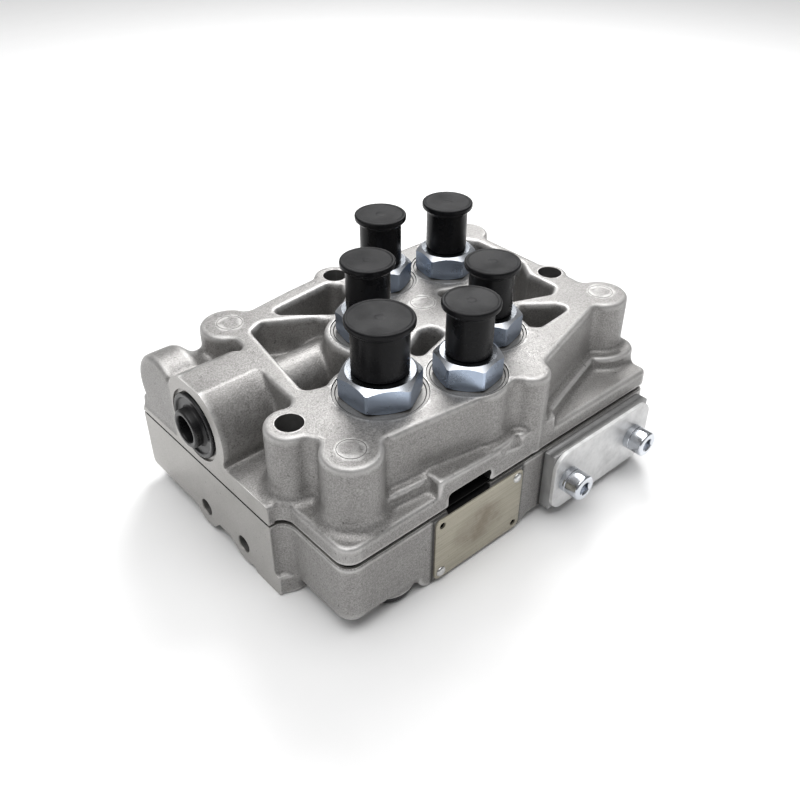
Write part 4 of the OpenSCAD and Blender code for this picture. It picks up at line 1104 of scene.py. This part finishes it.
def springPiece():
    # Wire centre at angle a: x = start + sum of the pitch so far, (y, z) = coil * (cos a, sin a); the pitch is
    # small in the first and last turn; the wire's ring is wire * (sin b along x, cos b outwards)
    k = springLook
    turn = np.linspace(0, k["turns"], int(k["turns"] * k["perTurn"]) + 1)
    opened = stepUp(turn, 0.7, 1.3) * (1 - stepUp(turn, k["turns"] - 1.3, k["turns"] - 0.7))
    middle = (opened[1:] + opened[:-1]) / 2 / k["perTurn"]
    wide = (k["run"] - k["closedPitch"] * k["turns"]) / middle.sum()
    along = np.concatenate([[0], np.cumsum(k["closedPitch"] / k["perTurn"] + wide * middle)])
    a, b = (turn * 2 * math.pi)[:, None], (np.arange(k["sides"]) / k["sides"] * 2 * math.pi)[None, :]
    r = k["coil"] + k["wire"] * np.cos(b) + 0 * a
    ring = np.stack([k["start"] + along[:, None] + k["wire"] * np.sin(b), sidePort["y"] + r * np.cos(a),
                     sidePort["z"] + r * np.sin(a)], -1)
    points = np.concatenate([ring.reshape(-1, 3), ring[[0, -1]].mean(1)])
    grid = ring.shape[:2]
    piece = meshFromArrays("spring", toScene(points), gridQuads(*grid), endFans(*grid), sharpAngle=60)
    dress(piece, "housing", "spool_spring", "steel")
    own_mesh(piece)


signPiece()
rivetPiece()
springPiece()
bracketPieces()
screwsPiece("bracketScrews", "bracket_screws", [(x, 0, bracketPlaces["z"]) for x in bracketPlaces["x"]], "y",
            bracketScrewLook)
collarPiece()
screwsPiece("housingScrews", "housing_screws", [(x, y, 0) for x, y in screwPlaces], "z", housingScrewLook)
print("nameplate, spring, bracket and screws made")

# Camera: its place and its three axes, floor and lights
cameraSet = {
    "place": (-0.1510, -0.2365, 0.2998), "right": (0.7493, -0.6622, 0.0038),
    "up": (0.3917, 0.4478, 0.8037), "back": (-0.5340, -0.6007, 0.5950), "lens": 39.53, "sensor": 36.0,
}
cameraData = bpy.data.cameras.new("camera")
cameraData.lens = cameraSet["lens"]
cameraData.sensor_width = cameraSet["sensor"]
cameraData.clip_start = 0.01
camera = bpy.data.objects.new("camera", cameraData)
bpy.context.scene.collection.objects.link(camera)
axes = Matrix((cameraSet["right"], cameraSet["up"], cameraSet["back"])).transposed().to_4x4()
camera.matrix_world = Matrix.Translation(cameraSet["place"]) @ axes
bpy.context.scene.camera = camera

floorSet = {"size": 6.0, "low": -0.0002, "colour": (0.94, 0.94, 0.94), "pale": (0.95, 0.95, 0.95)}


def floorPiece():
    # A flat square, size * (u, v), just below the feet
    square = np.array([[-0.5, -0.5], [0.5, -0.5], [0.5, 0.5], [-0.5, 0.5]]) * floorSet["size"]
    points = np.concatenate([square, np.full((4, 1), floorSet["low"])], axis=1)
    piece = meshFromArrays("floor", points, [[0, 1, 2, 3]])
    material, tree, shader = newMaterial("floorPaper", {"colour": floorSet["colour"], "roughness": 0.9,
                                                        "specular": 0.1})
    noise = rangeNode(tree, noiseNode(tree, objectCoordinates(tree), 40.0), 0.3, 0.7)
    tree.links.new(mixColours(tree, noise, floorSet["colour"], floorSet["pale"]), shader["Base Color"])
    piece.data.materials.append(material)


floorPiece()

lightSet = {
    "over": {"place": (0.1, 0.0, 2.0), "aim": (0.05, 0.0, 0.0), "size": 2.2, "power": 31.0},
    "key": {"place": (0.562, 0.467, 0.752), "aim": (0.01, -0.03, 0.083), "size": 0.45, "power": 6.2},
    "left": {"place": (-0.75, -0.05, 1.45), "aim": (0.02, 0.05, 0.04), "size": 0.8, "power": 4.5},
}
for label, light in lightSet.items():
    data = bpy.data.lights.new(label, "AREA")
    data.shape = "DISK"
    data.size = light["size"]
    data.energy = light["power"]
    lamp = bpy.data.objects.new(label, data)
    lamp.visible_camera = False
    bpy.context.scene.collection.objects.link(lamp)
    back = np.array(light["place"]) - np.array(light["aim"])
    back = back / np.linalg.norm(back)
    across = np.cross((0, 0, 1), back)
    across = across / np.linalg.norm(across)
    lamp.matrix_world = Matrix.Translation(light["place"]) @ Matrix(
        (across, np.cross(back, across), back)).transposed().to_4x4()

worldSet = {"lit": 0.22, "seen": 0.8}  # strength as light on the object, and as the backdrop that the camera sees
world = bpy.data.worlds.new("studio")
world.use_nodes = True
background = world.node_tree.nodes["Background"].inputs
background["Color"].default_value = (1.0, 1.0, 1.0, 1.0)
seen = world.node_tree.nodes.new("ShaderNodeLightPath").outputs["Is Camera Ray"]
world.node_tree.links.new(rangeNode(world.node_tree, seen, 0.0, 1.0, worldSet["lit"], worldSet["seen"]),
                          background["Strength"])
bpy.context.scene.world = world
bpy.context.scene.view_settings.view_transform = "Standard"
print("camera, floor and lights set")
